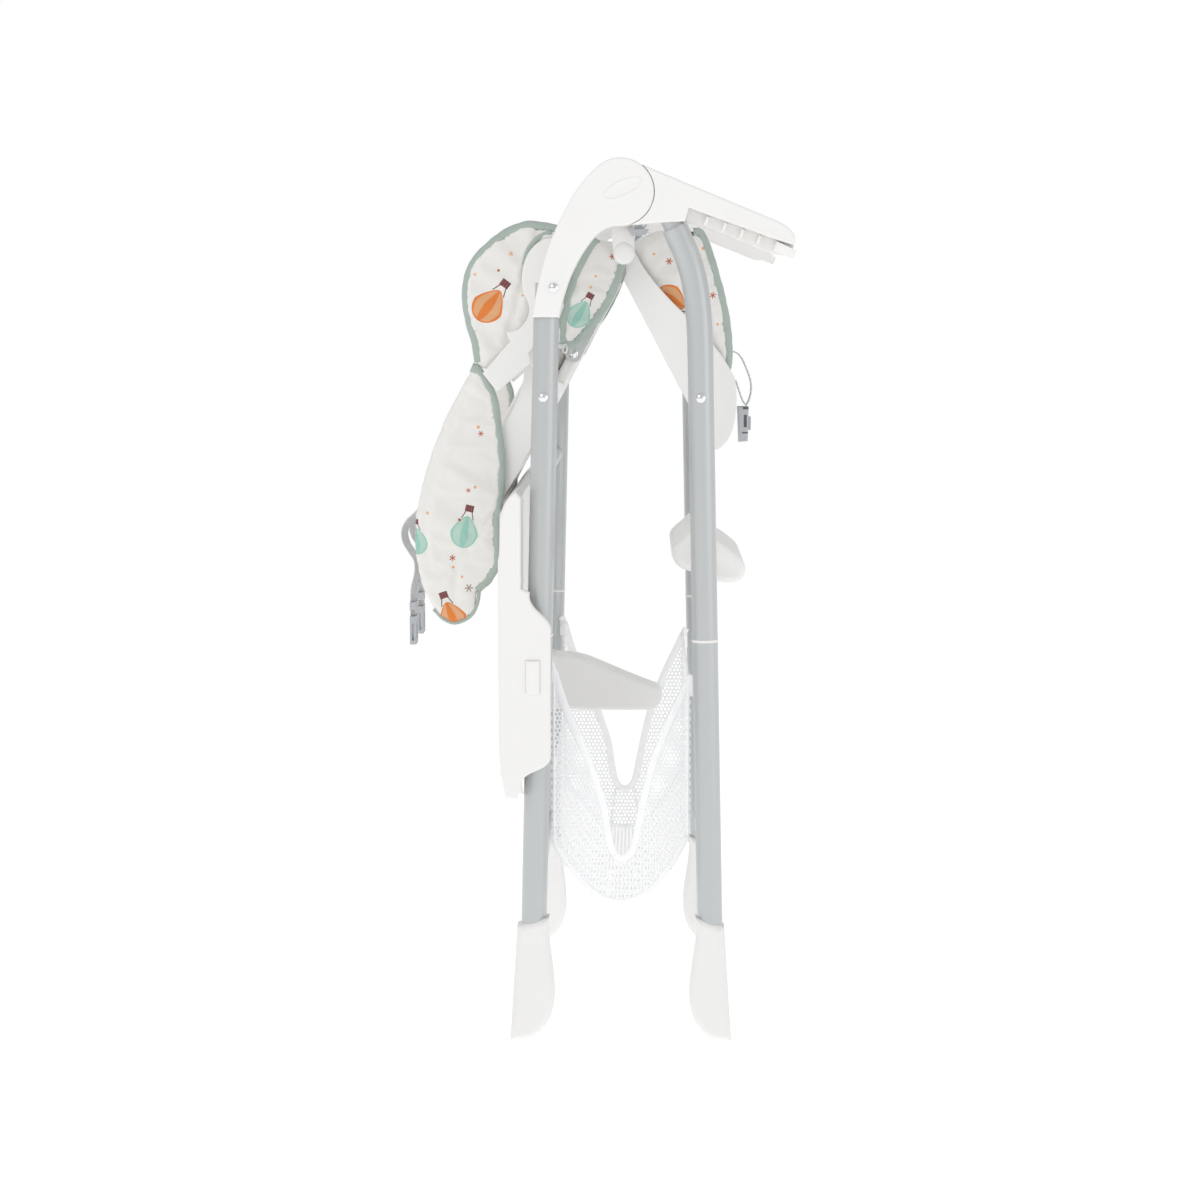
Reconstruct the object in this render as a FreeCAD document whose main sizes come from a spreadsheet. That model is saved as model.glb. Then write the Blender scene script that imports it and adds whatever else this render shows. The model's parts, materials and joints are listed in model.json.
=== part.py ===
"""Folding baby swing and high chair, stored upright with its legs together.

Frame: millimetres, +X to the front of the chair, +Y to its left, +Z up, floor at Z = 0.
Side outlines are given from the hub axis, so X = 0 there, and stand hub_forward ahead of the origin.
"""
import FreeCAD, Part
import math
import os

V = FreeCAD.Vector
DOWN_Y = FreeCAD.Rotation(V(1, 0, 0), 90)
doc = FreeCAD.newDocument("baby_swing")

# ---------------------------------------------------------------- driving dimensions
DIMENSIONS = {
    "hub_forward": 34.1, "hub_height": 1027.0, "hub_radius": 40.0, "hub_pin_radius": 6.0,
    "half_track": 265.0, "tube_radius": 15.5, "tube_wall": 1.5, "spigot_radius": 12.5,
    "shell_outer_face": 290.0, "shell_inner_face": 246.0, "shell_wall": 3.5, "shell_gap": 0.4,
    "running_gap": 0.05, "screw_radius": 5.5,
    "foot_width": 38.0, "crossbar_radius": 9.0, "plate_width": 20.0,
    "hanger_thickness": 5.0, "hip_tube_radius": 8.0, "hip_x": 4.0, "hip_z": 955.0,
    "seat_half_width": 190.0, "back_half_width": 158.0, "tray_half_width": 300.0,
    "footrest_half_width": 130.0, "basket_half_width": 248.0, "basket_wall": 2.5,
    "strap_width": 25.0, "strap_thickness": 1.8,
}
sheet = doc.addObject("Spreadsheet::Sheet", "Dimensions")
for row, (alias, value) in enumerate(DIMENSIONS.items(), start=1):
    sheet.set("A%d" % row, alias)
    sheet.set("B%d" % row, str(value))
    sheet.setAlias("B%d" % row, alias)
doc.recompute()


def dim(alias):
    """The value of a driving dimension."""
    return float(sheet.get(alias))


HUB_X = dim("hub_forward")
HUB_Z = dim("hub_height")
TRACK = dim("half_track")
TUBE = dim("tube_radius")
PIN = dim("hub_pin_radius")
GAP = dim("running_gap")
OUTER = dim("shell_outer_face")
INNER = dim("shell_inner_face")
WALL = dim("shell_wall")
HIP = (dim("hip_x"), dim("hip_z"))
parts = []


# ---------------------------------------------------------------- small helpers
def keep(feature, label):
    """Name a finished sub-part; its label is its node's name."""
    feature.Label = label
    parts.append(feature)
    return feature


def keep_pair(feature, name):
    """A right-hand sub-part and its mirror image on the left."""
    keep(feature, "right_" + name)
    keep(mirrored(feature), "left_" + name)


def mirrored(feature):
    """The mirror image, on the left, of a right-hand solid."""
    twin = doc.addObject("Part::Mirroring", "Twin")
    twin.Source = feature
    twin.Normal = V(0, 1, 0)
    return twin


def both(*features):
    """Right-hand solids and their mirror images, as the separate solids of one node."""
    return group(*features, *[mirrored(feature) for feature in features])


def side_sketch(runs, y):
    """A closed side outline at y. A run of two points is straight, a longer one a smooth curve."""
    sketch = doc.addObject("Sketcher::SketchObject", "Outline")
    sketch.Placement = FreeCAD.Placement(V(HUB_X, y, 0), DOWN_Y)
    flat = [[V(x, z, 0) for x, z in run] for run in runs]
    for points, following in zip(flat, flat[1:] + flat[:1]):
        if len(points) == 2:
            sketch.addGeometry(Part.LineSegment(*points))
        else:
            curve = Part.BSplineCurve()
            curve.interpolate(points)
            sketch.addGeometry(curve)
        if (points[-1] - following[0]).Length > 1e-6:
            sketch.addGeometry(Part.LineSegment(points[-1], following[0]))
    return sketch


def polygon(*points):
    """Straight runs round a list of corners."""
    return [[a, b] for a, b in zip(points, points[1:])]


def slab(runs, y_low, y_high, thickness=None):
    """A side outline made solid from y_low to y_high; thickness names the sheet cell that sets it."""
    solid = doc.addObject("Part::Extrusion", "Slab")
    solid.Base = side_sketch(runs, y_low)
    solid.DirMode = "Custom"
    solid.Dir = V(0, 1, 0)
    solid.LengthFwd = y_high - y_low
    if thickness:
        solid.setExpression("LengthFwd", "Dimensions." + thickness)
    solid.Solid = True
    return solid


def layer(runs, near, far, thickness=None):
    """A side outline made solid on the right side, between two distances from the middle plane."""
    return slab(runs, -far, -near, thickness)


def rod(x, z, radius, y_low, y_high):
    """A round bar along Y; radius is a number or the name of a sheet cell."""
    bar = doc.addObject("Part::Cylinder", "Rod")
    if isinstance(radius, str):
        bar.setExpression("Radius", "Dimensions." + radius)
    else:
        bar.Radius = radius
    bar.Height = y_high - y_low
    bar.Placement = FreeCAD.Placement(V(HUB_X + x, y_high, z), DOWN_Y)
    return bar


def side_rod(x, z, radius, near, far):
    """A round bar along Y on the right side, between two distances from the middle plane."""
    return rod(x, z, radius, -far, -near)


def block(x, y, z):
    """A box from three (low, high) pairs."""
    solid = doc.addObject("Part::Box", "Block")
    solid.Length, solid.Width, solid.Height = x[1] - x[0], y[1] - y[0], z[1] - z[0]
    solid.Placement.Base = V(HUB_X + x[0], y[0], z[0])
    return solid


def fuse(*solids):
    """One solid from several that touch or overlap."""
    joined = doc.addObject("Part::MultiFuse", "Joined")
    joined.Shapes = list(solids)
    joined.Refine = True
    return joined


def cut(base, *tools):
    """base with each tool taken away."""
    for tool in tools:
        result = doc.addObject("Part::Cut", "CutOut")
        result.Base = base
        result.Tool = tool
        base = result
    return base


def group(*solids):
    """Several separate solids that share one node."""
    bundle = doc.addObject("Part::Compound", "Group")
    bundle.Links = list(solids)
    return bundle


def soften(solid, radius, wanted):
    """Round the edges for which wanted(edge) is true, as fully as the solid allows, up to radius."""
    doc.recompute()
    chosen = [i for i, edge in enumerate(solid.Shape.Edges, start=1) if wanted(edge)]
    for size in (radius, 0.7 * radius, 0.45 * radius, 0.25 * radius):
        rounded = doc.addObject("Part::Fillet", "Rounded")
        rounded.Base = solid
        rounded.Edges = [(i, size, size) for i in chosen]
        doc.recompute()
        shape = rounded.Shape
        if not shape.isNull() and shape.isValid() and shape.Solids and 0.8 < shape.Volume / solid.Shape.Volume < 1:
            return rounded
        doc.removeObject(rounded.Name)
    print("left sharp:", solid.Name)
    return solid


def at_y(*levels):
    """Edges that lie in a plane of constant y."""
    def wanted(edge):
        box = edge.BoundBox
        return box.YLength < 0.01 and min(abs(box.YMin - level) for level in levels) < 0.01
    return wanted


def leaning_tube(low, high, radius, wall=None):
    """A straight round tube between two side points of the right leg; wall None makes it solid."""
    start = V(HUB_X + low[0], -TRACK, low[1])
    run = V(HUB_X + high[0], -TRACK, high[1]) - start
    bar = doc.addObject("Part::Cylinder", "Tube")
    bar.Radius = radius
    bar.Height = run.Length
    bar.Placement = FreeCAD.Placement(start, FreeCAD.Rotation(V(0, 0, 1), run))
    if wall is None:
        return bar
    bore = doc.addObject("Part::Cylinder", "TubeBore")
    bore.Radius = radius - wall
    bore.Height = run.Length
    bore.Placement = bar.Placement
    return cut(bar, bore)


def between(low, high, z):
    """The side point at height z on the line through two side points."""
    t = (z - low[1]) / (high[1] - low[1])
    return (low[0] + t * (high[0] - low[0]), z)


def formed(shape):
    """An object whose shape comes straight from a swept solid."""
    feature = doc.addObject("Part::Feature", "Formed")
    feature.Shape = shape
    feature.Placement = FreeCAD.Placement()
    return feature


def ribbon(points, y, width, thickness, bend):
    """Webbing seen edge-on: a strip along side points, its turns rounded to the radius bend."""
    nodes = [V(HUB_X + x, y - width / 2, z) for x, z in points]
    edges = []
    start = nodes[0]
    for before, corner, after in zip(nodes, nodes[1:], nodes[2:]):
        back = (before - corner).normalize()
        ahead = (after - corner).normalize()
        half = (back.getAngle(ahead)) / 2
        reach = min(bend / math.tan(half), 0.45 * (corner - before).Length, 0.45 * (after - corner).Length)
        radius = reach * math.tan(half)
        entry = corner + back * reach
        leave = corner + ahead * reach
        inward = (back + ahead).normalize()
        middle = corner + inward * (radius / math.sin(half) - radius)
        edges.append(Part.LineSegment(start, entry).toShape())
        edges.append(Part.Arc(entry, middle, leave).toShape())
        start = leave
    edges.append(Part.LineSegment(start, nodes[-1]).toShape())
    path = Part.Wire(edges)
    heading = (nodes[1] - nodes[0]).normalize()
    across = heading.cross(V(0, 1, 0)).normalize() * (thickness / 2)
    wide = V(0, width, 0)
    corners = [nodes[0] - across, nodes[0] + across, nodes[0] + across + wide, nodes[0] - across + wide]
    return path.makePipeShell([Part.makePolygon(corners + corners[:1])], True, False)


# ---------------------------------------------------------------- legs
REAR_TOP = (-88.5, 878.0)
REAR_END = (-106.0, 95.0)
FRONT_END = (110.5, 95.0)
FRONT_STRAIGHT = (96.5, 790.0)
FRONT_BEND = ((93.5, 880.0), (81.0, 947.0), (64.5, 985.0))
FRONT_TOP_HEADING = V(-0.42, 0, 0.91)
REAR_JOINT_Z = 497.0
FRONT_JOINT_Z = 490.0
JOINT_GAP = 1.2
BORE = TUBE - dim("tube_wall")
REAR_SCREW = (-92.0, 784.0)
FRONT_SCREW = (96.0, 783.0)
LEG_SCREW = 4.0
LEG_SCREW_FACE = TRACK + TUBE - 0.6
HOUSING_SCREW = (-79.0, 914.0)
SCREW_SHANK = 2.5


def lower_tube(end, top, joint_z):
    """A leg's lower tube, its upper end necked down to slip inside the upper tube."""
    tube = leaning_tube(end, between(end, top, joint_z), TUBE, dim("tube_wall"))
    neck = leaning_tube(between(end, top, joint_z - 25), between(end, top, joint_z + JOINT_GAP), BORE, 1.5)
    plug = leaning_tube(between(end, top, joint_z), between(end, top, joint_z + 45), BORE - 0.1, 1.5)
    return fuse(tube, neck, plug)


def screw_holes(tube, point):
    """A leg with the hole for its through screw and the flat that the screw's head sits on."""
    return cut(tube, side_rod(*point, LEG_SCREW, 240, 300), side_rod(*point, 5.6, LEG_SCREW_FACE, 300))


def rear_leg():
    start = between(REAR_END, REAR_TOP, REAR_JOINT_Z + JOINT_GAP)
    upper = leaning_tube(start, REAR_TOP, TUBE, dim("tube_wall"))
    spigot = leaning_tube(between(REAR_END, REAR_TOP, REAR_TOP[1] - 20),
                          between(REAR_END, REAR_TOP, REAR_TOP[1] + 42), BORE, 2.0)
    screw_hole = side_rod(*HOUSING_SCREW, SCREW_SHANK, OUTER - 20, OUTER)
    keep_pair(screw_holes(cut(fuse(upper, spigot), screw_hole), REAR_SCREW), "rear_upper_tube")
    keep_pair(lower_tube(REAR_END, REAR_TOP, REAR_JOINT_Z), "rear_lower_tube")


def front_leg():
    keep_pair(lower_tube(FRONT_END, FRONT_STRAIGHT, FRONT_JOINT_Z), "front_lower_tube")
    low = between(FRONT_END, FRONT_STRAIGHT, FRONT_JOINT_Z + JOINT_GAP)
    start = V(HUB_X + low[0], -TRACK, low[1])
    knee = V(HUB_X + FRONT_STRAIGHT[0], -TRACK, FRONT_STRAIGHT[1])
    bend = [V(HUB_X + x, -TRACK, z) for x, z in FRONT_BEND]
    heading = (knee - start).normalize()
    curve = Part.BSplineCurve()
    curve.interpolate(Points=[knee] + bend, InitialTangent=heading, FinalTangent=FRONT_TOP_HEADING)
    path = Part.Wire([Part.LineSegment(start, knee).toShape(), curve.toShape()])
    rings = [Part.Wire(Part.makeCircle(radius, start, heading)) for radius in (TUBE, BORE)]
    outer, bore = [path.makePipeShell([ring], True, False) for ring in rings]
    spigot = Part.makeCylinder(dim("spigot_radius"), 34, bend[-1] - FRONT_TOP_HEADING * 12, FRONT_TOP_HEADING)
    keep_pair(screw_holes(formed(outer.cut(bore).fuse(spigot)), FRONT_SCREW), "front_upper_tube")


# ---------------------------------------------------------------- feet
REAR_FOOT = [[(-125, 142), (-86, 152)], [(-86, 152), (-84, 105), (-80, 66), (-84, 30), (-98, 10), (-119, 0)],
             [(-119, 0), (-134, 0)], [(-134, 0), (-125, 142)]]
FRONT_FOOT = [[(92, 152), (127, 141)], [(127, 141), (136, 0)], [(136, 0), (121, 0)],
              [(121, 0), (102, 10), (89, 30), (85, 66), (90, 105), (92, 152)]]


def foot(outline, leg_low, leg_high, name):
    """A moulded foot with a socket for the leg; its sole lies flat when the legs are open."""
    half = dim("foot_width") / 2
    near, far = TRACK - half, TRACK + half
    body = soften(layer(outline, near, far), 8.0, at_y(-near, -far))
    keep_pair(cut(body, leaning_tube(leg_low, between(leg_low, leg_high, 200.0), TUBE + 0.15)), name)


# ---------------------------------------------------------------- hub housing and arms
HUB_HOUSING = [[(0, 1067), (-17, 1062), (-37, 1047), (-55, 1024), (-71, 995), (-87, 957), (-97, 920), (-104.5, 879)],
               [(-104.5, 879), (-72.5, 879)],
               [(-72.5, 879), (-67, 904), (-57, 932), (-40, 962), (-22, 981), (0, 987)]]
HOUSING_CAVITY = [[(0, 1061), (-15, 1057), (-33, 1043), (-51, 1020), (-67, 992), (-83, 955), (-92, 922), (-99, 886)],
                  [(-99, 886), (-78, 886)],
                  [(-78, 886), (-72, 907), (-61, 934), (-45, 964), (-25, 985), (0, 993)],
                  [(0, 993), (48, 993)], [(48, 993), (48, 1061)]]
ARM_TOP = [[(22, 1060), (184, 993)], [(184, 993), (198, 985), (206, 975), (206, 964)]]
ARM_HEEL = [(76, 992), (46, 990.5), (14, 988)]
ARM_OUTER = ARM_TOP + polygon((206, 964), (178, 973), (81, 1008), (76, 992)) + [ARM_HEEL]
ARM_INNER = ARM_TOP + polygon((206, 964), (204, 952), (180, 954), (99, 987), (76, 992)) + [ARM_HEEL]
ARM_CAVITY = polygon((20, 1054), (79, 1029), (147, 1003), (184, 987), (198, 975), (196, 970), (80, 1013),
                     (70, 1000), (70, 997), (14, 995), (20, 1054))
RAIL_PITCH = 22.0
RAIL_SLOPE = math.radians(-20.2)
SPLIT = dim("shell_gap") / 2


def housing():
    """The rear leg's head: two half shells with a round eye on the hub pin."""
    halves = (("outer", TRACK + SPLIT, OUTER, OUTER, (TRACK - 1, OUTER - WALL), (TRACK + 6, OUTER - 1)),
              ("inner", INNER, TRACK - SPLIT, INNER, (INNER + WALL, TRACK + 1), (INNER + 1, TRACK - 8)))
    for name, near, far, face, hollow_span, eye_span in halves:
        solid = fuse(layer(HUB_HOUSING, near, far), side_rod(0, HUB_Z, "hub_radius", near, far))
        shell = soften(cut(solid, layer(HOUSING_CAVITY, *hollow_span)), 2.4, at_y(-face))
        bore_end = OUTER - WALL if name == "outer" else far + 2
        bore = side_rod(0, HUB_Z, PIN + GAP, near - 2, bore_end)
        socket = leaning_tube(between(REAR_END, REAR_TOP, REAR_TOP[1] - 5),
                              between(REAR_END, REAR_TOP, REAR_TOP[1] + 43), BORE + 0.05)
        screw_hole = side_rod(*HOUSING_SCREW, SCREW_SHANK, OUTER - 20, OUTER + 1)
        shell = cut(fuse(shell, side_rod(0, HUB_Z, PIN + 4, *eye_span)), bore, socket, screw_hole)
        keep_pair(shell, "hub_%s_shell" % name)


def rail_ribs():
    """Ribs under the arm's lip: they make a row of pockets, one for each tray position."""
    ribs = []
    for step in range(5):
        x = 99 + step * RAIL_PITCH * math.cos(RAIL_SLOPE)
        z = 988 + step * RAIL_PITCH * math.sin(RAIL_SLOPE)
        drop = 24 if step == 4 else 2.6
        fall = drop * math.tan(RAIL_SLOPE)
        outline = polygon((x, z), (x + drop, z + fall), (x + drop + 4, z + 9 + fall), (x + 4, z + 11), (x, z))
        ribs.append(layer(outline, TRACK - 2.2, TRACK + 12))
    return ribs


def arm():
    """The front leg's head: two half shells that reach forward, with the tray's rail under the outer one."""
    clear = side_rod(0, HUB_Z, dim("hub_radius") + 0.6, INNER - 1, OUTER + 1)
    top = V(HUB_X + FRONT_BEND[-1][0], -TRACK, FRONT_BEND[-1][1])
    heading = FRONT_TOP_HEADING
    mouth = formed(Part.makeCylinder(TUBE + 0.1, 30, top - heading * 29.8, heading))
    socket = formed(Part.makeCylinder(dim("spigot_radius") + 0.05, 30, top - heading * 5, heading))
    outer = soften(layer(ARM_OUTER, TRACK + SPLIT, OUTER), 2.4, at_y(-OUTER))
    keep_pair(cut(outer, layer(ARM_CAVITY, TRACK - 1, OUTER - WALL), clear, mouth, socket), "arm_outer_shell")
    inner = soften(layer(ARM_INNER, INNER, TRACK - SPLIT), 2.4, at_y(-INNER))
    inner = cut(inner, layer(ARM_CAVITY, INNER + WALL, TRACK + 1), clear, mouth, socket)
    keep_pair(fuse(inner, *rail_ribs()), "arm_inner_shell")


def arm_core():
    """The arm's core: an eye on the hub pin and a tongue screwed inside the arm's shells."""
    near, far = TRACK - 6, TRACK + 4
    tongue = layer(polygon((20, 1046), (44, 1036), (44, 1016), (20, 1010), (20, 1046)), near, far)
    core = fuse(tongue, side_rod(0, HUB_Z, 31.0, near, far))
    return cut(core, side_rod(0, HUB_Z, "hub_pin_radius", near - 1, far + 1))


# ---------------------------------------------------------------- fold release triggers
RELEASE = polygon((8, 984), (34, 984), (30, 977), (14, 976), (8, 984))
RELEASE_STEM = polygon((16, 983), (16, 1004), (26, 1004), (26, 983), (16, 983))


def fold_release():
    """The finger trigger that frees the fold, on the hub's inner face."""
    keep_pair(fuse(layer(RELEASE, 236, INNER - 0.3), layer(RELEASE_STEM, 238.5, 242.5)), "fold_release")


# ---------------------------------------------------------------- flat bars and screws
def bar_outline(start, end, width):
    """A flat bar's side outline between two pivots, running half its width past each."""
    run = V(end[0] - start[0], end[1] - start[1], 0).normalize() * (width / 2)
    across = V(-run.y, run.x, 0)
    low = V(start[0], start[1], 0) - run
    high = V(end[0], end[1], 0) + run
    corners = [low - across, low + across, high + across, high - across, low - across]
    return polygon(*[(c.x, c.y) for c in corners])


def flat_bar(start, end, width, near, thickness):
    """A flat bar with full round ends."""
    bar = layer(bar_outline(start, end, width), near, near + dim(thickness), thickness)
    return soften(bar, 0.46 * width, lambda edge: edge.BoundBox.YLength > 3)


def dome_screw(x, z, face, inner, shank):
    """A round-headed screw: its dome stands on the outer face, its shank runs in to inner."""
    dome = doc.addObject("Part::Sphere", "Dome")
    dome.Radius = 8.2
    dome.Placement.Base = V(HUB_X + x, -(face - 4.4), z)
    head = doc.addObject("Part::Common", "Head")
    head.Base = dome
    head.Tool = side_rod(x, z, "screw_radius", face + 0.05, face + 6)
    return fuse(head, side_rod(x, z, shank, inner, face + 0.6))


# ---------------------------------------------------------------- crossbars, footrest
FOOTREST = [[(88, 616), (76, 604), (63, 588), (66, 575), (84, 562)], [(84, 562), (108, 552), (132, 547), (151, 550)],
            [(151, 550), (156, 562), (151, 577)], [(151, 577), (134, 591), (112, 604), (88, 616)]]
FOOTREST_AXIS = (104.0, 582.0)


def crossbar(leg_low, leg_high, x, z):
    """A cross tube whose ends are saddled onto the legs."""
    reach = TRACK - 8
    bar = rod(x, z, "crossbar_radius", -reach, reach)
    leg = leaning_tube(between(leg_low, leg_high, z - 60), between(leg_low, leg_high, z + 60), TUBE)
    return cut(bar, rod(x, z, dim("crossbar_radius") - 1.5, -reach - 1, reach + 1), leg, mirrored(leg))


def footrest():
    half = dim("footrest_half_width")
    body = soften(slab(FOOTREST, -half, half), 9.0, at_y(-half, half))
    keep(cut(body, rod(*FOOTREST_AXIS, dim("crossbar_radius") + 0.08, -half - 1, half + 1)), "footrest")


# ---------------------------------------------------------------- swing hanger
def hanger():
    near = 228.5
    far = near + dim("hanger_thickness")
    bar = flat_bar(HIP, (0, HUB_Z), 26.0, near, "hanger_thickness")
    keep_pair(cut(bar, side_rod(0, HUB_Z, PIN + GAP, near - 1, far + 1),
                  side_rod(*HIP, "hip_tube_radius", near - 1, far + 1)), "swing_hanger")
    tube = rod(*HIP, "hip_tube_radius", -far - 1.5, far + 1.5)
    keep(cut(tube, rod(*HIP, dim("hip_tube_radius") - 1.5, -far - 3, far + 3)), "hip_tube")


# ---------------------------------------------------------------- seat
SEAT_SHELL = [[(3, 924.5), (106, 728)], [(106, 728), (117, 717), (130, 727), (139, 748), (142, 780), (140, 803)],
              [(140, 803), (74, 886), (48, 913), (15, 962)], [(15, 962), (6, 962)], [(6, 962), (6, 932)],
              [(6, 932), (3, 924.5)]]
SEAT_HOLLOW = polygon((-14, 965.2), (109.6, 730), (126, 733), (135, 760), (137, 800), (200, 860), (60, 1000),
                      (-14, 965.2))
SEAT_WING = [[(20, 958), (34, 981)], [(34, 981), (88, 982)],
             [(88, 982), (105, 970), (121, 924), (131, 886), (134, 850), (132, 812)],
             [(132, 812), (76, 880), (46, 915), (20, 958)]]
SEAT_PAD = polygon((24, 905), (46, 935), (124, 806), (124, 758), (103, 754), (24, 905))
CROTCH_STRAP = [(126, 808), (144, 838), (161, 815), (165, 786), (156, 769), (149, 784), (146, 797)]
CROTCH_BUCKLE = polygon((149, 763), (150.5, 718), (162, 719), (163, 763), (149, 763))


def seat():
    half = dim("seat_half_width")
    bucket = cut(slab(SEAT_SHELL, -half, half), slab(SEAT_HOLLOW, -half + 4, half - 4))
    bucket = soften(bucket, 1.6, at_y(-half, half))
    lug = side_rod(*HIP, 13.0, half - 14, half - 1)
    bore = rod(*HIP, dim("hip_tube_radius") + GAP, -half - 1, half + 1)
    keep(cut(fuse(bucket, lug, mirrored(lug)), bore), "seat_shell")
    keep(slab(SEAT_PAD, -half + 24, half - 24), "seat_cushion")
    keep_pair(layer(SEAT_WING, half - 22, half - 6), "seat_wing")
    keep(formed(ribbon(CROTCH_STRAP, 0, 22, dim("strap_thickness"), 6)), "crotch_strap")
    buckle = soften(slab(CROTCH_BUCKLE, -20, 20), 2.5, at_y(-20, 20))
    keep(cut(buckle, block((158, 166), (-8.2, 8.2), (732.8, 750.2))), "crotch_buckle")
    keep(block((160.5, 166), (-8, 8), (733, 750)), "buckle_button")


# ---------------------------------------------------------------- back
BACK_LEAN = math.radians(28.5)
BACK_FOOT = (3.0, 928.0)


def back_point(along, out):
    """A side point on the folded back: along from its foot, out from its rear face."""
    return (BACK_FOOT[0] - math.sin(BACK_LEAN) * along - math.cos(BACK_LEAN) * out,
            BACK_FOOT[1] - math.cos(BACK_LEAN) * along + math.sin(BACK_LEAN) * out)


def back_run(*pairs):
    return [back_point(along, out) for along, out in pairs]


HIP_LOBE = [back_run((0, 22), (2, 60), (-10, 100), (-6, 116)),
            back_run((-6, 116), (40, 150), (75, 163), (112, 164), (150, 145), (184, 106)),
            back_run((184, 106), (184, 22)), back_run((184, 22), (0, 22))]
HEAD_LOBE = [back_run((190, 106), (212, 111), (252, 111), (306, 105), (352, 95), (400, 76), (447, 41)),
             back_run((447, 41), (464, 20), (470, 3)), back_run((470, 3), (300, 3)),
             back_run((300, 3), (190, 84)), back_run((190, 84), (190, 106))]
BACK_BOARD = polygon(*back_run((8, 0), (440, 0), (450, 6), (440, 15), (8, 15), (8, 0)))
BACK_FLANGE = polygon(*back_run((150, 1), (440, 1), (440, 12), (150, 12), (150, 1)))
BACK_CHEEK = [back_run((150, 0), (436, 0)), back_run((436, 0), (444, 8), (444, 22)),
              back_run((444, 22), (400, 50), (340, 56), (150, 56)), back_run((150, 56), (150, 0))]
BACK_PAD_FOOT = polygon(*back_run((40, 17), (142, 17), (142, 46), (40, 46), (40, 17)))
BACK_PAD = polygon(*back_run((142, 17), (455, 17), (462, 30), (450, 46), (142, 46), (142, 17)))
BACK_LUG = polygon((-6, 957), (-14, 926), (-3, 920), (2, 946), (-6, 957))
SIDE_ARM = [[(-74, 972), (-92, 973), (-110, 959), (-119, 936), (-118, 912), (-111, 888), (-116, 873), (-139, 861)],
            [(-139, 861), (-134, 850)], [(-134, 850), (-168, 811)], [(-168, 811), (-150, 788)], [(-150, 788), (-109, 824)],
            [(-109, 824), (-112, 836)], [(-112, 836), (-84, 866)], [(-84, 866), (-64, 930)], [(-64, 930), (-74, 972)]]
STRAP = [(-206.5, 642), (-245, 637), (-268, 624), (-278, 602), (-271, 583), (-260, 568), (-262, 548), (-266, 525),
         (-266, 494)]
STRAP_Y = 60.0


def harness_ends():
    """The slide adjuster and the buckle prong on the right shoulder strap."""
    low, high = -STRAP_Y - 17, -STRAP_Y + 17
    slider = cut(block((-270, -262), (low, high), (506, 516)), block((-267.4, -264.6), (low + 4, high - 4), (505, 517)))
    frame = block((-270, -262), (low, high), (462, 498))
    hole = block((-271, -261), (low + 8, high - 8), (468, 489))
    slit = block((-267.4, -264.6), (low - 1, high + 1), (467, 489))
    return slider, cut(frame, hole, slit, block((-267.4, -264.6), (low + 4, high - 4), (492.5, 499)))


def back():
    half = dim("back_half_width")
    board = soften(slab(BACK_BOARD, -half, half), 4.0, at_y(-half, half))
    cheek = soften(layer(BACK_CHEEK, 188.5, 191.5), 1.2, at_y(-191.5))
    board = fuse(board, slab(BACK_FLANGE, -190, 190), cheek, mirrored(cheek))
    lug = fuse(side_rod(*HIP, 10.5, half - 20, half), layer(BACK_LUG, half - 20, half))
    bore = rod(*HIP, dim("hip_tube_radius") + GAP, -half - 1, half + 1)
    keep(cut(fuse(board, lug, mirrored(lug)), bore), "back_shell")
    keep(fuse(slab(BACK_PAD_FOOT, -half, half), slab(BACK_PAD, -187, 187)), "back_cushion")
    keep_pair(group(layer(HIP_LOBE, 193, 207), layer(HEAD_LOBE, 193, 207)), "back_wing")
    keep_pair(soften(layer(SIDE_ARM, 209.5, 215), 2.0, at_y(-215)), "side_arm")
    keep(both(formed(ribbon(STRAP, -STRAP_Y, dim("strap_width"), dim("strap_thickness"), 14))), "shoulder_straps")
    keep(both(*harness_ends()), "harness_ends")
    stop = back_point(112, 9)
    plate = flat_bar(HIP, stop, dim("plate_width"), half + 1.5, "hanger_thickness")
    plate = cut(plate, side_rod(*HIP, dim("hip_tube_radius") + GAP, half, half + 9),
                side_rod(*stop, SCREW_SHANK, half, half + 9))
    keep(both(plate), "recline_plates")
    keep(both(dome_screw(*stop, half + 6.5, half + 1.5, SCREW_SHANK)), "recline_stop_screws")


# ---------------------------------------------------------------- tray
TRAY_BACK = -118.5
TRAY_FACE = -146.0
TRAY_RIM = [[(-124, 672), (-135, 663), (-143, 640), (-146, 590)], [(-146, 590), (TRAY_FACE, 390)],
            [(TRAY_FACE, 390), (-144, 340), (-138, 303)], [(-138, 303), (-124, 301)], [(-124, 301), (TRAY_BACK, 320)],
            [(TRAY_BACK, 320), (TRAY_BACK, 665)], [(TRAY_BACK, 665), (-124, 672)]]
TRAY_WELL = polygon((-160, 648), (-127, 648), (-127, 322), (-160, 322), (-160, 648))
TRAY_EAR = [[(-141, 565), (-108, 552)], [(-108, 552), (-103, 534), (-88, 519), (-83, 500)], [(-83, 500), (-83, 352)],
            [(-83, 352), (-98, 337), (-112, 330), (-116, 308)], [(-116, 308), (-134, 308)], [(-134, 308), (-141, 565)]]
TRAY_LID = polygon((-145, 645), (-131, 645), (-131, 325), (-145, 325), (-145, 645))
TRAY_DISH = polygon((-150, 633), (-135, 633), (-135, 337), (-150, 337), (-150, 633))
TRAY_POST = [[(-113, 452), (-88, 444), (-54, 440), (-26, 430), (12, 414), (44, 402)],
             [(44, 402), (52, 393), (48, 376), (36, 370)], [(36, 370), (-28, 370), (-113, 372)],
             [(-113, 372), (-113, 452)]]
TRAY_LATCH = polygon((-113, 470), (-96, 470), (-96, 430), (-113, 430), (-113, 470))
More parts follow.
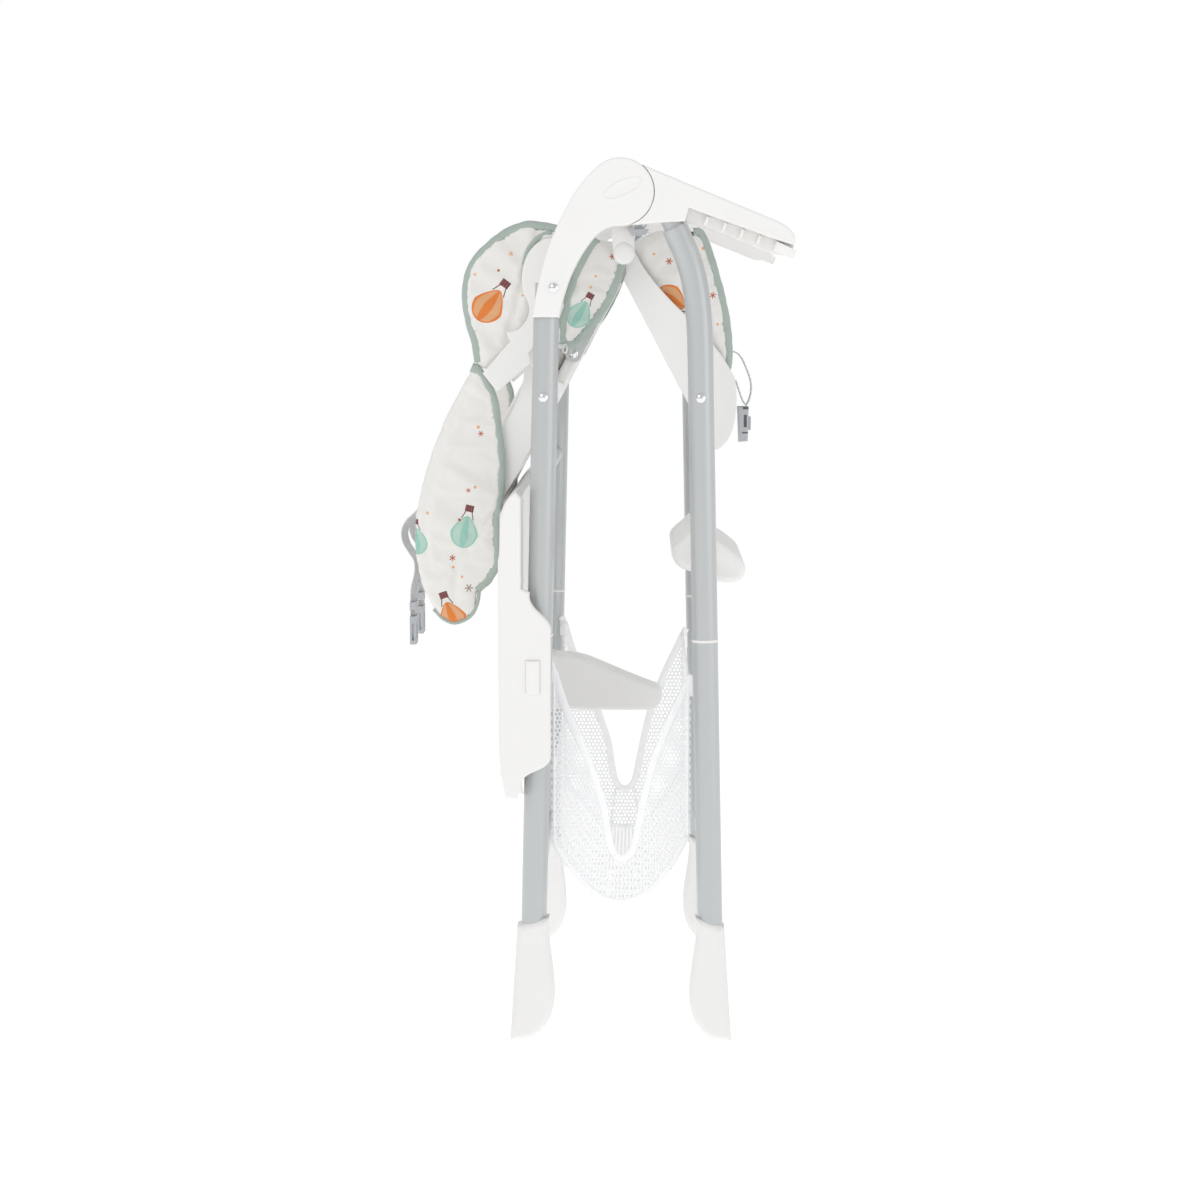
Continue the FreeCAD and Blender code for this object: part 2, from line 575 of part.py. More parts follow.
LATCH_POCKET = polygon((-113.2, 470.2), (-95.8, 470.2), (-95.8, 429.8), (-113.2, 429.8), (-113.2, 470.2))


def tray():
    half = dim("tray_half_width")
    rim = soften(slab(TRAY_RIM, -half, half), 8.0, at_y(-half, half))
    rim = cut(rim, slab(TRAY_WELL, -half + 22, half - 22))
    ear = soften(layer(TRAY_EAR, half - 9, half), 3.0, at_y(-half))
    ear = cut(ear, layer(LATCH_POCKET, half - 7.5, half + 1))
    keep(fuse(rim, ear, mirrored(ear)), "tray_base")
    lid = soften(slab(TRAY_LID, -half + 25, half - 25), 6.0, lambda edge: edge.BoundBox.XLength > 10)
    keep(cut(lid, slab(TRAY_DISH, -half + 37, half - 37)), "tray_insert")
    post = soften(slab(TRAY_POST, -24, 24), 9.0, at_y(-24, 24))
    keep(fuse(post, block((TRAY_BACK + 0.1, -112), (-36, 36), (366, 458))), "tray_post")
    keep_pair(soften(layer(TRAY_LATCH, half - 3.5, half + 4), 2.0, at_y(-half - 4)), "tray_latch")


# ---------------------------------------------------------------- basket
BASKET_FLOOR = [(-82, 236), (-60, 203), (-34, 176), (0, 163), (34, 176), (62, 207), (84, 246)]
BASKET_INSIDE = [(81.5, 247), (60, 210), (32, 179), (0, 166), (-32, 179), (-58, 206), (-79.5, 236)]
BASKET_SIDE = [[(-82, 455), (-82, 236)], BASKET_FLOOR, [(84, 246), (84, 440)],
               [(84, 440), (60, 392), (40, 342), (24, 275), (12, 226), (2, 221)],
               [(2, 221), (-8, 226), (-20, 285), (-38, 340), (-58, 384), (-82, 455)]]
BASKET_SLING = [[(-82, 330), (-82, 236)], BASKET_FLOOR, [(84, 246), (84, 440)], [(84, 440), (81.5, 440)],
                [(81.5, 440), (81.5, 247)], BASKET_INSIDE, [(-79.5, 236), (-79.5, 330)], [(-79.5, 330), (-82, 330)]]


def basket():
    half = dim("basket_half_width")
    side = layer(BASKET_SIDE, half - dim("basket_wall"), half)
    keep(fuse(slab(BASKET_SLING, -half, half), side, mirrored(side)), "basket")


# ---------------------------------------------------------------- build everything
rear_leg()
front_leg()
foot(REAR_FOOT, REAR_END, REAR_TOP, "rear_foot")
foot(FRONT_FOOT, FRONT_END, FRONT_STRAIGHT, "front_foot")
housing()
arm()
fold_release()
keep(both(dome_screw(*REAR_SCREW, LEG_SCREW_FACE, 249.6, LEG_SCREW)), "rear_leg_screws")
keep(both(dome_screw(*FRONT_SCREW, LEG_SCREW_FACE, 249.6, LEG_SCREW)), "front_leg_screws")
keep(both(dome_screw(*HOUSING_SCREW, OUTER, OUTER - 20, SCREW_SHANK)), "housing_screws")
keep(both(arm_core()), "arm_cores")
keep(both(side_rod(0, HUB_Z, "hub_pin_radius", 226.0, OUTER - WALL - 0.3)), "hub_pins")
rear_bars = [crossbar(REAR_END, REAR_TOP, *between(REAR_END, REAR_TOP, z)) for z in (690.0, 178.0)]
keep(group(*rear_bars), "rear_crossbars")
low_bar = crossbar(FRONT_END, FRONT_STRAIGHT, *between(FRONT_END, FRONT_STRAIGHT, 178.0))
keep(group(crossbar(FRONT_END, FRONT_STRAIGHT, *FOOTREST_AXIS), low_bar), "front_crossbars")
footrest()
hanger()
seat()
back()
tray()
basket()
doc.recompute()

failed = [item.Name for item in doc.Objects if "Invalid" in item.State or "Error" in item.State]
for item in parts:
    if item.Shape.isNull() or not item.Shape.isValid() or not item.Shape.Solids:
        failed.append(item.Label)
if failed:
    raise SystemExit("not built: " + ", ".join(failed))
os.makedirs("parts", exist_ok=True)
for item in parts:
    item.Shape.exportStep("parts/%s.step" % item.Label)
print(len(parts), "sub-parts")
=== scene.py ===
"""Looks of the folding baby swing: padded covers, binding, webbing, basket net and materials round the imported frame."""
import json
import math
import random

import bmesh
import bpy
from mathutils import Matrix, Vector, geometry, noise


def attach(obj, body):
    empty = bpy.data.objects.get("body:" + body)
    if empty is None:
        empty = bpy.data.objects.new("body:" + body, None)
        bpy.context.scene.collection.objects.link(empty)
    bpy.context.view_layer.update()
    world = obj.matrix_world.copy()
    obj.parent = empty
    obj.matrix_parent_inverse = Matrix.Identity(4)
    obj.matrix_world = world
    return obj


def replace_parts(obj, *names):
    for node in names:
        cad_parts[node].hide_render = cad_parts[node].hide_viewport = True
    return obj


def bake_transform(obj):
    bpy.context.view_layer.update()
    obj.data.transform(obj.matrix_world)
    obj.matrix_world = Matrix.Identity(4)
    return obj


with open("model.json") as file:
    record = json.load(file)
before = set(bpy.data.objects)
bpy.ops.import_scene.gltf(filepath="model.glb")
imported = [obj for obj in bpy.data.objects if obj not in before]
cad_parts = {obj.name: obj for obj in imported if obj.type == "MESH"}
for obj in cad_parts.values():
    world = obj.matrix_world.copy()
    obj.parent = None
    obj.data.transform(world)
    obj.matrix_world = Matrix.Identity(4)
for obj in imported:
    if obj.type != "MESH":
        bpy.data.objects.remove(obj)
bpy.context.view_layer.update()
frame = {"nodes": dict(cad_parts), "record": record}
HUB_X = 0.0341  # the hub pins' axis in the row frame
MM = 0.001
Y_AXIS = Vector((0, 1, 0))
scene = bpy.context.scene


def side(x, z, y):
    """A point in the row frame from millimetres: x ahead of the hub axis, z above the floor, y to the left."""
    return Vector((HUB_X + x * MM, y * MM, z * MM))


# ---------------------------------------------------------------- materials
def tone(red, green, blue):
    """A linear colour from the usual 0 to 255 values."""
    return tuple(((c / 255 + 0.055) / 1.055) ** 2.4 for c in (red, green, blue)) + (1.0,)


class Shader:
    """A Principled material and short ways to add the nodes that feed it."""

    def __init__(self, name, roughness, metallic=0.0, **sockets):
        self.material = bpy.data.materials.new(name)
        self.material.use_nodes = True
        self.tree = self.material.node_tree
        self.shader = self.tree.nodes["Principled BSDF"]
        self.shader.inputs["Roughness"].default_value = roughness
        self.shader.inputs["Metallic"].default_value = metallic
        for key, value in sockets.items():
            self.shader.inputs[key.replace("_", " ")].default_value = value

    def add(self, kind, inputs=(), **settings):
        node = self.tree.nodes.new("ShaderNode" + kind)
        for key, value in settings.items():
            setattr(node, key, value)
        for key, value in dict(inputs).items():
            if isinstance(value, bpy.types.NodeSocket):
                self.tree.links.new(value, node.inputs[key])
            else:
                node.inputs[key].default_value = value
        return node

    def calc(self, operation, *values):
        return self.add("Math", enumerate(values), operation=operation).outputs[0]

    def coords(self, cloth=False):
        if cloth:
            return self.add("UVMap", uv_map="cloth").outputs[0]
        return self.add("TexCoord").outputs["Object"]

    def noise(self, coords, scale, detail=3.0, stretch=(1, 1, 1)):
        mapped = self.add("Mapping", {"Vector": coords, "Scale": stretch}).outputs[0]
        return self.add("TexNoise", {"Vector": mapped, "Scale": scale, "Detail": detail}).outputs["Fac"]

    def mix(self, factor, first, second):
        node = self.add("Mix", data_type="RGBA")
        for key, value in ((0, factor), (6, first), (7, second)):
            if isinstance(value, bpy.types.NodeSocket):
                self.tree.links.new(value, node.inputs[key])
            else:
                node.inputs[key].default_value = value
        return node.outputs[2]

    def spread(self, value, low, high):
        """A 0 to 1 value moved to low to high."""
        return self.add("MapRange", {0: value, 3: low, 4: high}).outputs[0]

    def finish(self, colour=None, height=None, distance=0.0002, strength=0.5, roughness=None):
        if colour is not None:
            self.tree.links.new(colour, self.shader.inputs["Base Color"])
        if roughness is not None:
            self.tree.links.new(roughness, self.shader.inputs["Roughness"])
        if height is not None:
            bump = self.add("Bump", {"Height": height, "Distance": distance, "Strength": strength})
            self.tree.links.new(bump.outputs[0], self.shader.inputs["Normal"])
        return self.material


def shade(colour, factor):
    return tuple(c * factor for c in colour[:3]) + (1.0,)


def moulded(name, colour, roughness, grain=1500.0, depth=0.00005, **sockets):
    """Moulded plastic: a fine spark-eroded grain, slightly uneven gloss and colour."""
    s = Shader(name, roughness, **sockets)
    at = s.coords()
    cloud = s.noise(at, 14.0, 4.0)
    mottled = s.mix(cloud, shade(colour, 0.975), shade(colour, 1.015))
    scuffs = s.noise(at, 60.0, 6.0, (1, 1, 0.25))
    return s.finish(mottled, s.noise(at, grain, 2.0), depth, 0.55,
                    s.spread(s.calc("MULTIPLY", cloud, scuffs), roughness - 0.06, roughness + 0.16))


def painted(name, colour, roughness, metallic, flake=0.06):
    """Satin metallic paint on steel: tiny flakes and faint orange peel."""
    s = Shader(name, roughness, metallic, Coat_Weight=0.25, Coat_Roughness=0.18)
    at = s.coords()
    flakes = s.mix(s.noise(at, 2600.0, 1.0), shade(colour, 1 - flake), shade(colour, 1 + flake))
    drawn = s.noise(at, 260.0, 3.0, (1, 1, 0.03))
    return s.finish(flakes, s.noise(at, 700.0, 2.0), 0.00004, 0.35,
                    s.spread(drawn, roughness - 0.05, roughness + 0.08))


def polished(name, colour, roughness, stretch=(1, 1, 1)):
    """Bare plated or brushed steel with fine scratches."""
    s = Shader(name, roughness, 1.0)
    at = s.coords()
    lines = s.noise(at, 900.0, 4.0, stretch)
    return s.finish(s.mix(lines, shade(colour, 0.9), shade(colour, 1.05)), lines, 0.00002, 0.3,
                    s.spread(lines, roughness * 0.7, roughness * 1.6))


LINEN_THREAD = 0.0011
BINDING_THREAD = 0.0008


def weave(s, uv, thread):
    """The height of a plain weave, and a noise of thick and thin threads that run both ways."""
    split = s.add("SeparateXYZ", {0: uv})
    wave = [s.calc("SINE", s.calc("MULTIPLY", axis, math.pi / thread)) for axis in split.outputs[:2]]
    slub = s.calc("ADD", s.noise(uv, 1.0, 3.0, (110, 1500, 1)), s.noise(uv, 1.0, 3.0, (1500, 110, 1)))
    return s.calc("ADD", s.calc("MULTIPLY", wave[0], wave[1]), slub), slub


def binding_cloth(name, colour, **sockets):
    """Twill binding tape: fine diagonal ribs and worn, paler high threads."""
    s = Shader(name, 0.86, Sheen_Weight=0.25, **sockets)
    uv = s.coords(cloth=True)
    height, slub = weave(s, uv, BINDING_THREAD)
    split = s.add("SeparateXYZ", {0: uv})
    rib = s.calc("SINE", s.calc("MULTIPLY", s.calc("ADD", split.outputs[0], split.outputs[1]), 5200.0))
    cloud = s.noise(uv, 60.0, 3.0)
    toned = s.mix(cloud, shade(colour, 0.86), shade(colour, 1.1))
    return s.finish(s.mix(s.spread(slub, -0.1, 0.35), toned, shade(colour, 1.25)),
                    s.calc("ADD", rib, height), 0.00015, 0.6)


def webbing_cloth(name, colour):
    """Woven webbing: ribs across it and cords along it."""
    s = Shader(name, 0.72, Sheen_Weight=0.15)
    uv = s.coords(cloth=True)
    split = s.add("SeparateXYZ", {0: uv})
    along = s.calc("SINE", s.calc("MULTIPLY", split.outputs[0], 4200.0))
    across = s.calc("SINE", s.calc("MULTIPLY", split.outputs[1], 2600.0))
    ribs = s.calc("MULTIPLY", along, s.spread(across, 0.5, 1.0))
    fleck = s.noise(uv, 1.0, 2.0, (900, 300, 1))
    return s.finish(s.mix(fleck, shade(colour, 0.82), shade(colour, 1.12)), ribs, 0.00022, 0.7)


# Printed motifs, drawn by arithmetic on the cloth's own coordinates.
def local(s, uv, x, z, size, turn):
    """A motif's own coordinates: it is centred at x, z mm, reaches size mm, and is turned by degrees."""
    place = {"Vector": uv, "Location": (x * MM, z * MM, 0), "Rotation": (0, 0, math.radians(turn)),
             "Scale": (size * MM, size * MM, 1)}
    mapped = s.add("Mapping", place, vector_type="TEXTURE").outputs[0]
    split = s.add("SeparateXYZ", {0: mapped})
    return split.outputs[0], split.outputs[1]


def inside(s, *limits):
    """1 where every value is below its limit."""
    result = None
    for value, limit in limits:
        step = s.calc("LESS_THAN", value, limit)
        result = step if result is None else s.calc("MULTIPLY", result, step)
    return result


def balloon(s, uv, ground, x, z, size, turn, light, dark, band):
    """A plain hot-air balloon: a striped envelope, a scalloped skirt of ropes and a basket."""
    u, v = local(s, uv, x, z, size, turn)
    taper = s.add("MapRange", {0: v, 1: -1.2, 2: 0.1, 3: 0.5, 4: 1.0}).outputs[0]
    across = s.calc("DIVIDE", u, taper)
    tall = s.calc("MULTIPLY", v, 0.86)
    reach = s.calc("ADD", s.calc("MULTIPLY", across, across), s.calc("MULTIPLY", tall, tall))
    chord = s.calc("SQRT", s.calc("MAXIMUM", s.calc("SUBTRACT", 1.0, s.calc("MULTIPLY", tall, tall)), 0.02))
    meridian = s.calc("ARCSINE", s.calc("MAXIMUM", s.calc("MINIMUM", s.calc("DIVIDE", across, chord), 1.0), -1.0))
    stripe = s.calc("GREATER_THAN", s.calc("COSINE", s.calc("MULTIPLY", meridian, 5.0)), 0.1)
    rim = s.calc("GREATER_THAN", reach, 0.84)
    wash = s.noise(uv, 420.0, 3.0)
    skin = s.mix(s.calc("MAXIMUM", stripe, rim), s.mix(wash, light, shade(light, 0.86)),
                 s.mix(wash, dark, shade(dark, 1.2)))
    ground = s.mix(inside(s, (reach, 1.0)), ground, skin)
    width = s.calc("ABSOLUTE", u)
    low = s.calc("ABSOLUTE", s.calc("ADD", v, 1.72))
    slope = s.calc("ABSOLUTE", s.calc("SUBTRACT", width, s.calc("MULTIPLY", s.calc("ADD", v, 2.1), 0.36)))
    ropes = inside(s, (slope, 0.035), (s.calc("ABSOLUTE", s.calc("ADD", v, 1.25)), 0.3))
    ground = s.mix(ropes, ground, band)
    basket = inside(s, (width, 0.3), (low, 0.24))
    slats = s.calc("GREATER_THAN", s.calc("SINE", s.calc("MULTIPLY", u, 34.0)), 0.6)
    return s.mix(basket, ground, s.mix(slats, band, shade(band, 2.2)))


def star(s, uv, ground, x, z, size, turn, colour):
    """A small star with six rounded points."""
    u, v = local(s, uv, x, z, size, turn)
    angle = s.calc("ARCTAN2", v, u)
    radius = s.calc("SQRT", s.calc("ADD", s.calc("MULTIPLY", u, u), s.calc("MULTIPLY", v, v)))
    points = s.calc("ADD", 0.62, s.calc("MULTIPLY", s.calc("COSINE", s.calc("MULTIPLY", angle, 6.0)), 0.38))
    return s.mix(inside(s, (radius, points)), ground, colour)


def dot(s, uv, ground, x, z, size, colour):
    u, v = local(s, uv, x, z, size, 0)
    radius = s.calc("ADD", s.calc("MULTIPLY", u, u), s.calc("MULTIPLY", v, v))
    return s.mix(inside(s, (radius, 1.0)), ground, colour)


LINEN = tone(242, 240, 236)
SAGE = tone(173, 186, 178)
ORANGE = (tone(238, 178, 130), tone(222, 126, 58))
MINT = (tone(196, 224, 212), tone(150, 198, 184))
PLUM = tone(112, 66, 66)
RUST = tone(190, 98, 60)
PEACH = tone(240, 178, 132)


def printed_linen(name, balloons=(), stars=(), dots=()):
    """Slubby linen with its print: balloons (x, z, size, turn, colours), stars (x, z, size, turn, colour) and dots."""
    s = Shader(name, 0.9, Sheen_Weight=0.3, Sheen_Roughness=0.5)
    uv = s.coords(cloth=True)
    height, slub = weave(s, uv, LINEN_THREAD)
    cloud = s.noise(uv, 18.0, 3.0)
    ground = s.mix(s.spread(slub, -0.35, 0.9), shade(LINEN, 0.9), shade(LINEN, 1.05))
    ground = s.mix(cloud, ground, shade(LINEN, 0.97))
    for x, z, size, turn, (light, dark) in balloons:
        ground = balloon(s, uv, ground, x, z, size, turn, light, dark, PLUM)
    for x, z, size, turn, colour in stars:
        ground = star(s, uv, ground, x, z, size, turn, colour)
    for x, z, size, colour in dots:
        ground = dot(s, uv, ground, x, z, size, colour)
    return s.finish(ground, height, 0.00018, 0.45)


def scattered(x_low, x_high, z_low, z_high, seed, gap):
    """Balloons, stars and dots in staggered rows over a large panel."""
    pick = random.Random(seed)
    balloons, stars, dots = [], [], []
    row = 0
    z = z_low + gap * 0.5
    while z < z_high:
        x = x_low + gap * (0.35 if row % 2 else 0.85)
        while x < x_high:
            kind = pick.random()
            if kind < 0.55:
                balloons.append((x, z, 15, pick.uniform(-25, 25), ORANGE if pick.random() < 0.5 else MINT))
            stars.append((x + gap * 0.45, z + gap * 0.2, pick.uniform(3.5, 5.5), pick.uniform(0, 60), RUST))
            dots.append((x - gap * 0.3, z + gap * 0.32, pick.uniform(1.4, 2.4), PEACH))
            x += gap * 1.25
        z += gap
        row += 1
    return balloons, stars, dots


PAINTED_GLOW = {"Emission_Color": (1, 1, 1, 1), "Emission_Strength": 0.1}  # painted light: a faint glow that lifts the white net and tape where they lie in shade


def net_cloth(name):
    """Knitted polyester: soft and a little fuzzy, with a faint painted glow that lifts it where it lies in shade."""
    s = Shader(name, 0.8, Sheen_Weight=0.2, Subsurface_Weight=0.1, **PAINTED_GLOW)
    at = s.coords()
    fuzz = s.noise(at, 900.0, 3.0)
    return s.finish(s.mix(fuzz, tone(238, 238, 239), tone(252, 252, 252)), fuzz, 0.0002, 0.5)


WHITE = moulded("white_plastic", tone(246, 245, 243), 0.42, Specular_IOR_Level=0.4)
FOOT = moulded("foot_plastic", tone(243, 242, 240), 0.5, 1100.0, 0.00008)
GREY = moulded("grey_plastic", tone(188, 191, 195), 0.45, 1400.0, 0.00006)
TUBE = painted("grey_tube", tone(196, 199, 199), 0.34, 0.35)
BRACKET = painted("bracket_metal", tone(206, 208, 208), 0.32, 0.45)
CHROME = polished("screw_chrome", (0.86, 0.87, 0.89, 1.0), 0.09)
STEEL = polished("steel", (0.6, 0.6, 0.61, 1.0), 0.3, (1, 0.05, 1))
BINDING = binding_cloth("sage_binding", SAGE)
WEBBING = webbing_cloth("grey_webbing", tone(216, 218, 220))
THREAD = binding_cloth("sage_thread", tone(140, 160, 150))
PALE_THREAD = binding_cloth("pale_thread", tone(226, 222, 214))
NET = net_cloth("basket_net")
# the white tape carries the same faint painted glow, lifting it where it lies in shade
TAPE = binding_cloth("white_tape", tone(246, 246, 247), **PAINTED_GLOW)
LINING = printed_linen("lining_linen")

finishes = {"grey_tube": TUBE, "foot_plastic": FOOT, "white_plastic": WHITE, "screw_chrome": CHROME, "steel": STEEL,
            "bracket_metal": BRACKET, "grey_plastic": GREY, "print_fabric": LINING, "webbing": WEBBING,
            "mesh_fabric": NET}
for part in frame["record"]["subparts"]:
    node = frame["nodes"][part["node"]]
    for slot in node.material_slots:
        slot.material = finishes[part["material_slot"]]


# ---------------------------------------------------------------- mesh helpers
def smooth_path(points, step, closed=False):
    """Points about step apart on a Catmull-Rom curve through the given ones."""
    points = [Vector(p) for p in points]
    count = len(points)
    spans = count if closed else count - 1
    result = []
    for i in range(spans):
        if closed:
            a, b, c, d = (points[(i + k) % count] for k in (-1, 0, 1, 2))
        else:
            b, c = points[i], points[i + 1]
            a = points[i - 1] if i else b + (b - c)
            d = points[i + 2] if i + 2 < count else c + (c - b)
        pieces = max(1, round((c - b).length / step))
        for k in range(pieces):
            t = k / pieces
            result.append(0.5 * ((2 * b) + (c - a) * t + (2 * a - 5 * b + 4 * c - d) * t * t
                                 + (3 * b - a - 3 * c + d) * t * t * t))
    if not closed:
        result.append(points[-1].copy())
    return result


def make(name, vertices, faces, material, uvs=None, smooth=True):
    """A mesh piece with its normals turned outward."""
    mesh = bpy.data.meshes.new(name)
    mesh.from_pydata(vertices, [], faces)
    if uvs is not None:
        layer = mesh.uv_layers.new(name="cloth")
        for loop in mesh.loops:
            layer.data[loop.index].uv = uvs[loop.vertex_index]
    mesh.materials.append(material)
    obj = bpy.data.objects.new(name, mesh)
    scene.collection.objects.link(obj)
    work = bmesh.new()
    work.from_mesh(mesh)
    bmesh.ops.recalc_face_normals(work, faces=work.faces)
    work.to_mesh(mesh)
    work.free()
    for polygon in mesh.polygons:
        polygon.use_smooth = smooth
    return obj


def apply(obj):
    """Makes the piece's modifiers real."""
    bpy.context.view_layer.update()
    done = bpy.data.meshes.new_from_object(obj.evaluated_get(bpy.context.evaluated_depsgraph_get()))
    obj.modifiers.clear()
    obj.data = done


def subdivide(obj, levels=1):
    modifier = obj.modifiers.new("Smooth", "SUBSURF")
    modifier.levels = modifier.render_levels = levels
    apply(obj)


def sweep(name, path, section, material, sideways=Y_AXIS, closed=False, scale=None):
    """A section of (across, up) metres swept along a path. up is the path's normal away from sideways."""
    count = len(path)
    ring = len(section)
    vertices, uvs, faces = [], [], []
    travelled = 0.0
    for i, point in enumerate(path):
        before = path[i - 1] if i or closed else path[0]
        after = path[(i + 1) % count] if i + 1 < count or closed else path[-1]
        heading = (after - before).normalized()
        up = sideways.cross(heading).normalized()
        across = heading.cross(up).normalized()
        travelled += (point - path[i - 1]).length if i else 0
        grow = scale(i / max(1, count - 1)) if scale else 1.0
        for k, (a, b) in enumerate(section):
            vertices.append(point + across * a * grow + up * b * grow)
            uvs.append((travelled, a))
    for i in range(count if closed else count - 1):
        for k in range(ring):
            n = (i + 1) % count
            faces.append((i * ring + k, i * ring + (k + 1) % ring, n * ring + (k + 1) % ring, n * ring + k))
    if not closed:
        faces.append(tuple(range(ring)))
        faces.append(tuple(range((count - 1) * ring, count * ring)))
    return make(name, vertices, faces, material, uvs)


def oval(across, up, pieces=12):
    """An oval section from its two half widths."""
    return [(across * math.cos(2 * math.pi * k / pieces), up * math.sin(2 * math.pi * k / pieces))
            for k in range(pieces)]


def ribbon_section(width, thickness):
    """Webbing in section: flat with slightly beaded edges."""
    w, t = width / 2, thickness / 2
    return [(-w, 0), (-w + t * 0.4, t), (-w + t * 2.2, t * 0.8), (0, t * 0.72), (w - t * 2.2, t * 0.8),
            (w - t * 0.4, t), (w, 0), (w - t * 0.4, -t), (w - t * 2.2, -t * 0.8), (0, -t * 0.72),
            (-w + t * 2.2, -t * 0.8), (-w + t * 0.4, -t)]


def stitches(name, path, normal, material, body, pitch=0.0048, length=0.0032, radius=0.00032):
    """A row of sewn stitches that lie on a surface with that normal."""
    vertices, faces, uvs = [], [], []
    run = 0.0
    for before, point in zip(path, path[1:]):
        run += (point - before).length
        if run < pitch:
            continue
        run = 0.0
        heading = (point - before).normalized()
        across = normal.cross(heading).normalized()
        base = len(vertices)
        for end, lift in ((-0.5, -0.2), (-0.2, 1.0), (0.2, 1.0), (0.5, -0.2)):
            centre = point + heading * end * length + normal * lift * radius
            for a, b in ((1, 0), (0, 1), (-1, 0), (0, -1)):
                vertices.append(centre + across * a * radius + normal * b * radius)
                uvs.append((end * length, a * radius))
        for ring in range(3):
            for k in range(4):
                m = base + ring * 4
                faces.append((m + k, m + (k + 1) % 4, m + 4 + (k + 1) % 4, m + 4 + k))
    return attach(make(name, vertices, faces, material, uvs), body)


# ---------------------------------------------------------------- sewn panels
def edge_gap(point, loop):
    """The distance from a point to a closed outline."""
    best = 1e9
    for a, b in zip(loop, loop[1:] + loop[:1]):
        run = b - a
        t = max(0.0, min(1.0, (point - a).dot(run) / max(run.length_squared, 1e-9)))
        best = min(best, (point - a - run * t).length)
    return best


def within(point, loop):
    """Whether a point lies inside a closed outline."""
    hit = False
    for a, b in zip(loop, loop[1:] + loop[:1]):
        if (a.y > point.y) != (b.y > point.y):
            if point.x < (b.x - a.x) * (point.y - a.y) / (b.y - a.y) + a.x:
                hit = not hit
    return hit


JITTER = 0.12       # how far a panel's inner points leave their grid, as a share of its pitch
ROW_RISE = 0.866    # from one staggered row of the grid to the next, as a share of its pitch
RIM_GAP = 0.02      # mm: a point nearer than this to the outline is on it
SEWN = 0.7          # a point drawn in more than this share is held by the stitches
SEWN_HOLD = 0.94    # and keeps this share of its place while the panel fills
EDGE = 0.9          # mm: the least half thickness beside the outline
SLACK = 0.035       # the share by which the cloth is larger than its panel
FILL_FRAMES = 20


def panel(name, outline, thickness, place, material, pitch, rim, seams, seam_width, seam_depth, cap, pressure=3.0):
    """A stuffed panel sewn round its outline (mm in its own plane): crowned, drawn in along its seams, then filled
    by a cloth simulation that puckers it against the stitches. place(u, v, h) puts a point in the row frame."""
    loop = [p.to_2d() for p in smooth_path([(u, v, 0) for u, v in outline], pitch, closed=True)]
    xs = [p.x for p in loop]
    zs = [p.y for p in loop]
    pick = random.Random(name)
    inner = []
    row = 0
    z = min(zs)
    while z < max(zs):
        x = min(xs) + (pitch / 2 if row % 2 else 0)
        while x < max(xs):
            point = Vector((x + pick.uniform(-JITTER, JITTER) * pitch, z + pick.uniform(-JITTER, JITTER) * pitch))
            if within(point, loop) and edge_gap(point, loop) > 0.6 * pitch:
                inner.append(point)
            x += pitch
        z += pitch * ROW_RISE
        row += 1
    flat = loop + inner
    ring = [(i, (i + 1) % len(loop)) for i in range(len(loop))]
    points, _, triangles, *_ = geometry.delaunay_2d_cdt(flat, ring, [], 1, 1e-4)
    rims = {i for i, p in enumerate(points) if edge_gap(p, loop) < RIM_GAP}
    vertices, uvs, pinned, upper, lower = [], [], [], {}, {}
    for i, p in enumerate(points):
        gap = edge_gap(p, loop)
        height = thickness / 2 * math.sqrt(max(0.0, 1 - (1 - min(gap / rim, 1.0)) ** 2))
        sewn = 0.0
        for line in seams:
            far = min(edge_gap(p, [a, b]) for a, b in zip(line, line[1:]))
            sewn = max(sewn, math.exp(-(far / seam_width) ** 2))
        height *= 1 - seam_depth * sewn
        if i in rims:
            upper[i] = lower[i] = len(vertices)
            vertices.append(place(p.x, p.y, 0.0))
            uvs.append((p.x * MM, p.y * MM))
            pinned.append(1.0)
            continue
        for table, sign in ((upper, 1), (lower, -1)):
            table[i] = len(vertices)
            vertices.append(place(p.x, p.y, sign * max(height, EDGE)))
            uvs.append((p.x * MM, p.y * MM))
            pinned.append(SEWN_HOLD if sewn > SEWN else 0.0)
    faces = []
    for a, b, c in triangles:
        faces.append((upper[a], upper[b], upper[c]))
        if not (a in rims and b in rims and c in rims):
            faces.append((lower[c], lower[b], lower[a]))
    obj = make(name, vertices, faces, material, uvs)
    fill(obj, pinned, pressure, cap)
    subdivide(obj)
    for polygon in obj.data.polygons:
        polygon.use_smooth = True
    return obj, [place(p.x, p.y, 0.0) for p in loop]


def fill(obj, pinned, pressure, cap):
    """Fills a closed panel with the cloth solver, and limits how far each point moves to cap."""
    group = obj.vertex_groups.new(name="sewn")
    for index, weight in enumerate(pinned):
        if weight:
            group.add([index], weight, "REPLACE")
    before = [v.co.copy() for v in obj.data.vertices]
    cloth = obj.modifiers.new("Cloth", "CLOTH")
    settings = cloth.settings
    settings.quality = 6
    settings.mass = 0.12
    settings.tension_stiffness = settings.compression_stiffness = 14
    settings.shear_stiffness = 8
    settings.bending_stiffness = 0.35
    settings.vertex_group_mass = "sewn"
    settings.shrink_min = -SLACK
    settings.use_pressure = True
    settings.uniform_pressure_force = pressure
    settings.effector_weights.gravity = 0
    cloth.point_cache.frame_start = 1
    cloth.point_cache.frame_end = FILL_FRAMES
    for number in range(1, FILL_FRAMES + 1):
        scene.frame_set(number)
    after = obj.evaluated_get(bpy.context.evaluated_depsgraph_get()).to_mesh()
    moved = [v.co.copy() for v in after.vertices]
    obj.modifiers.clear()
    for vertex, old, new in zip(obj.data.vertices, before, moved):
        step = new - old
        if step.length > cap:
            step *= cap / step.length
        vertex.co = old + step
    scene.frame_set(1)


def mirrored_name(name, sign):
    return ("right_" if sign < 0 else "left_") + name


def flat_line(*points):
    return [Vector(p) for p in points]


TRIM_STEP = 0.004


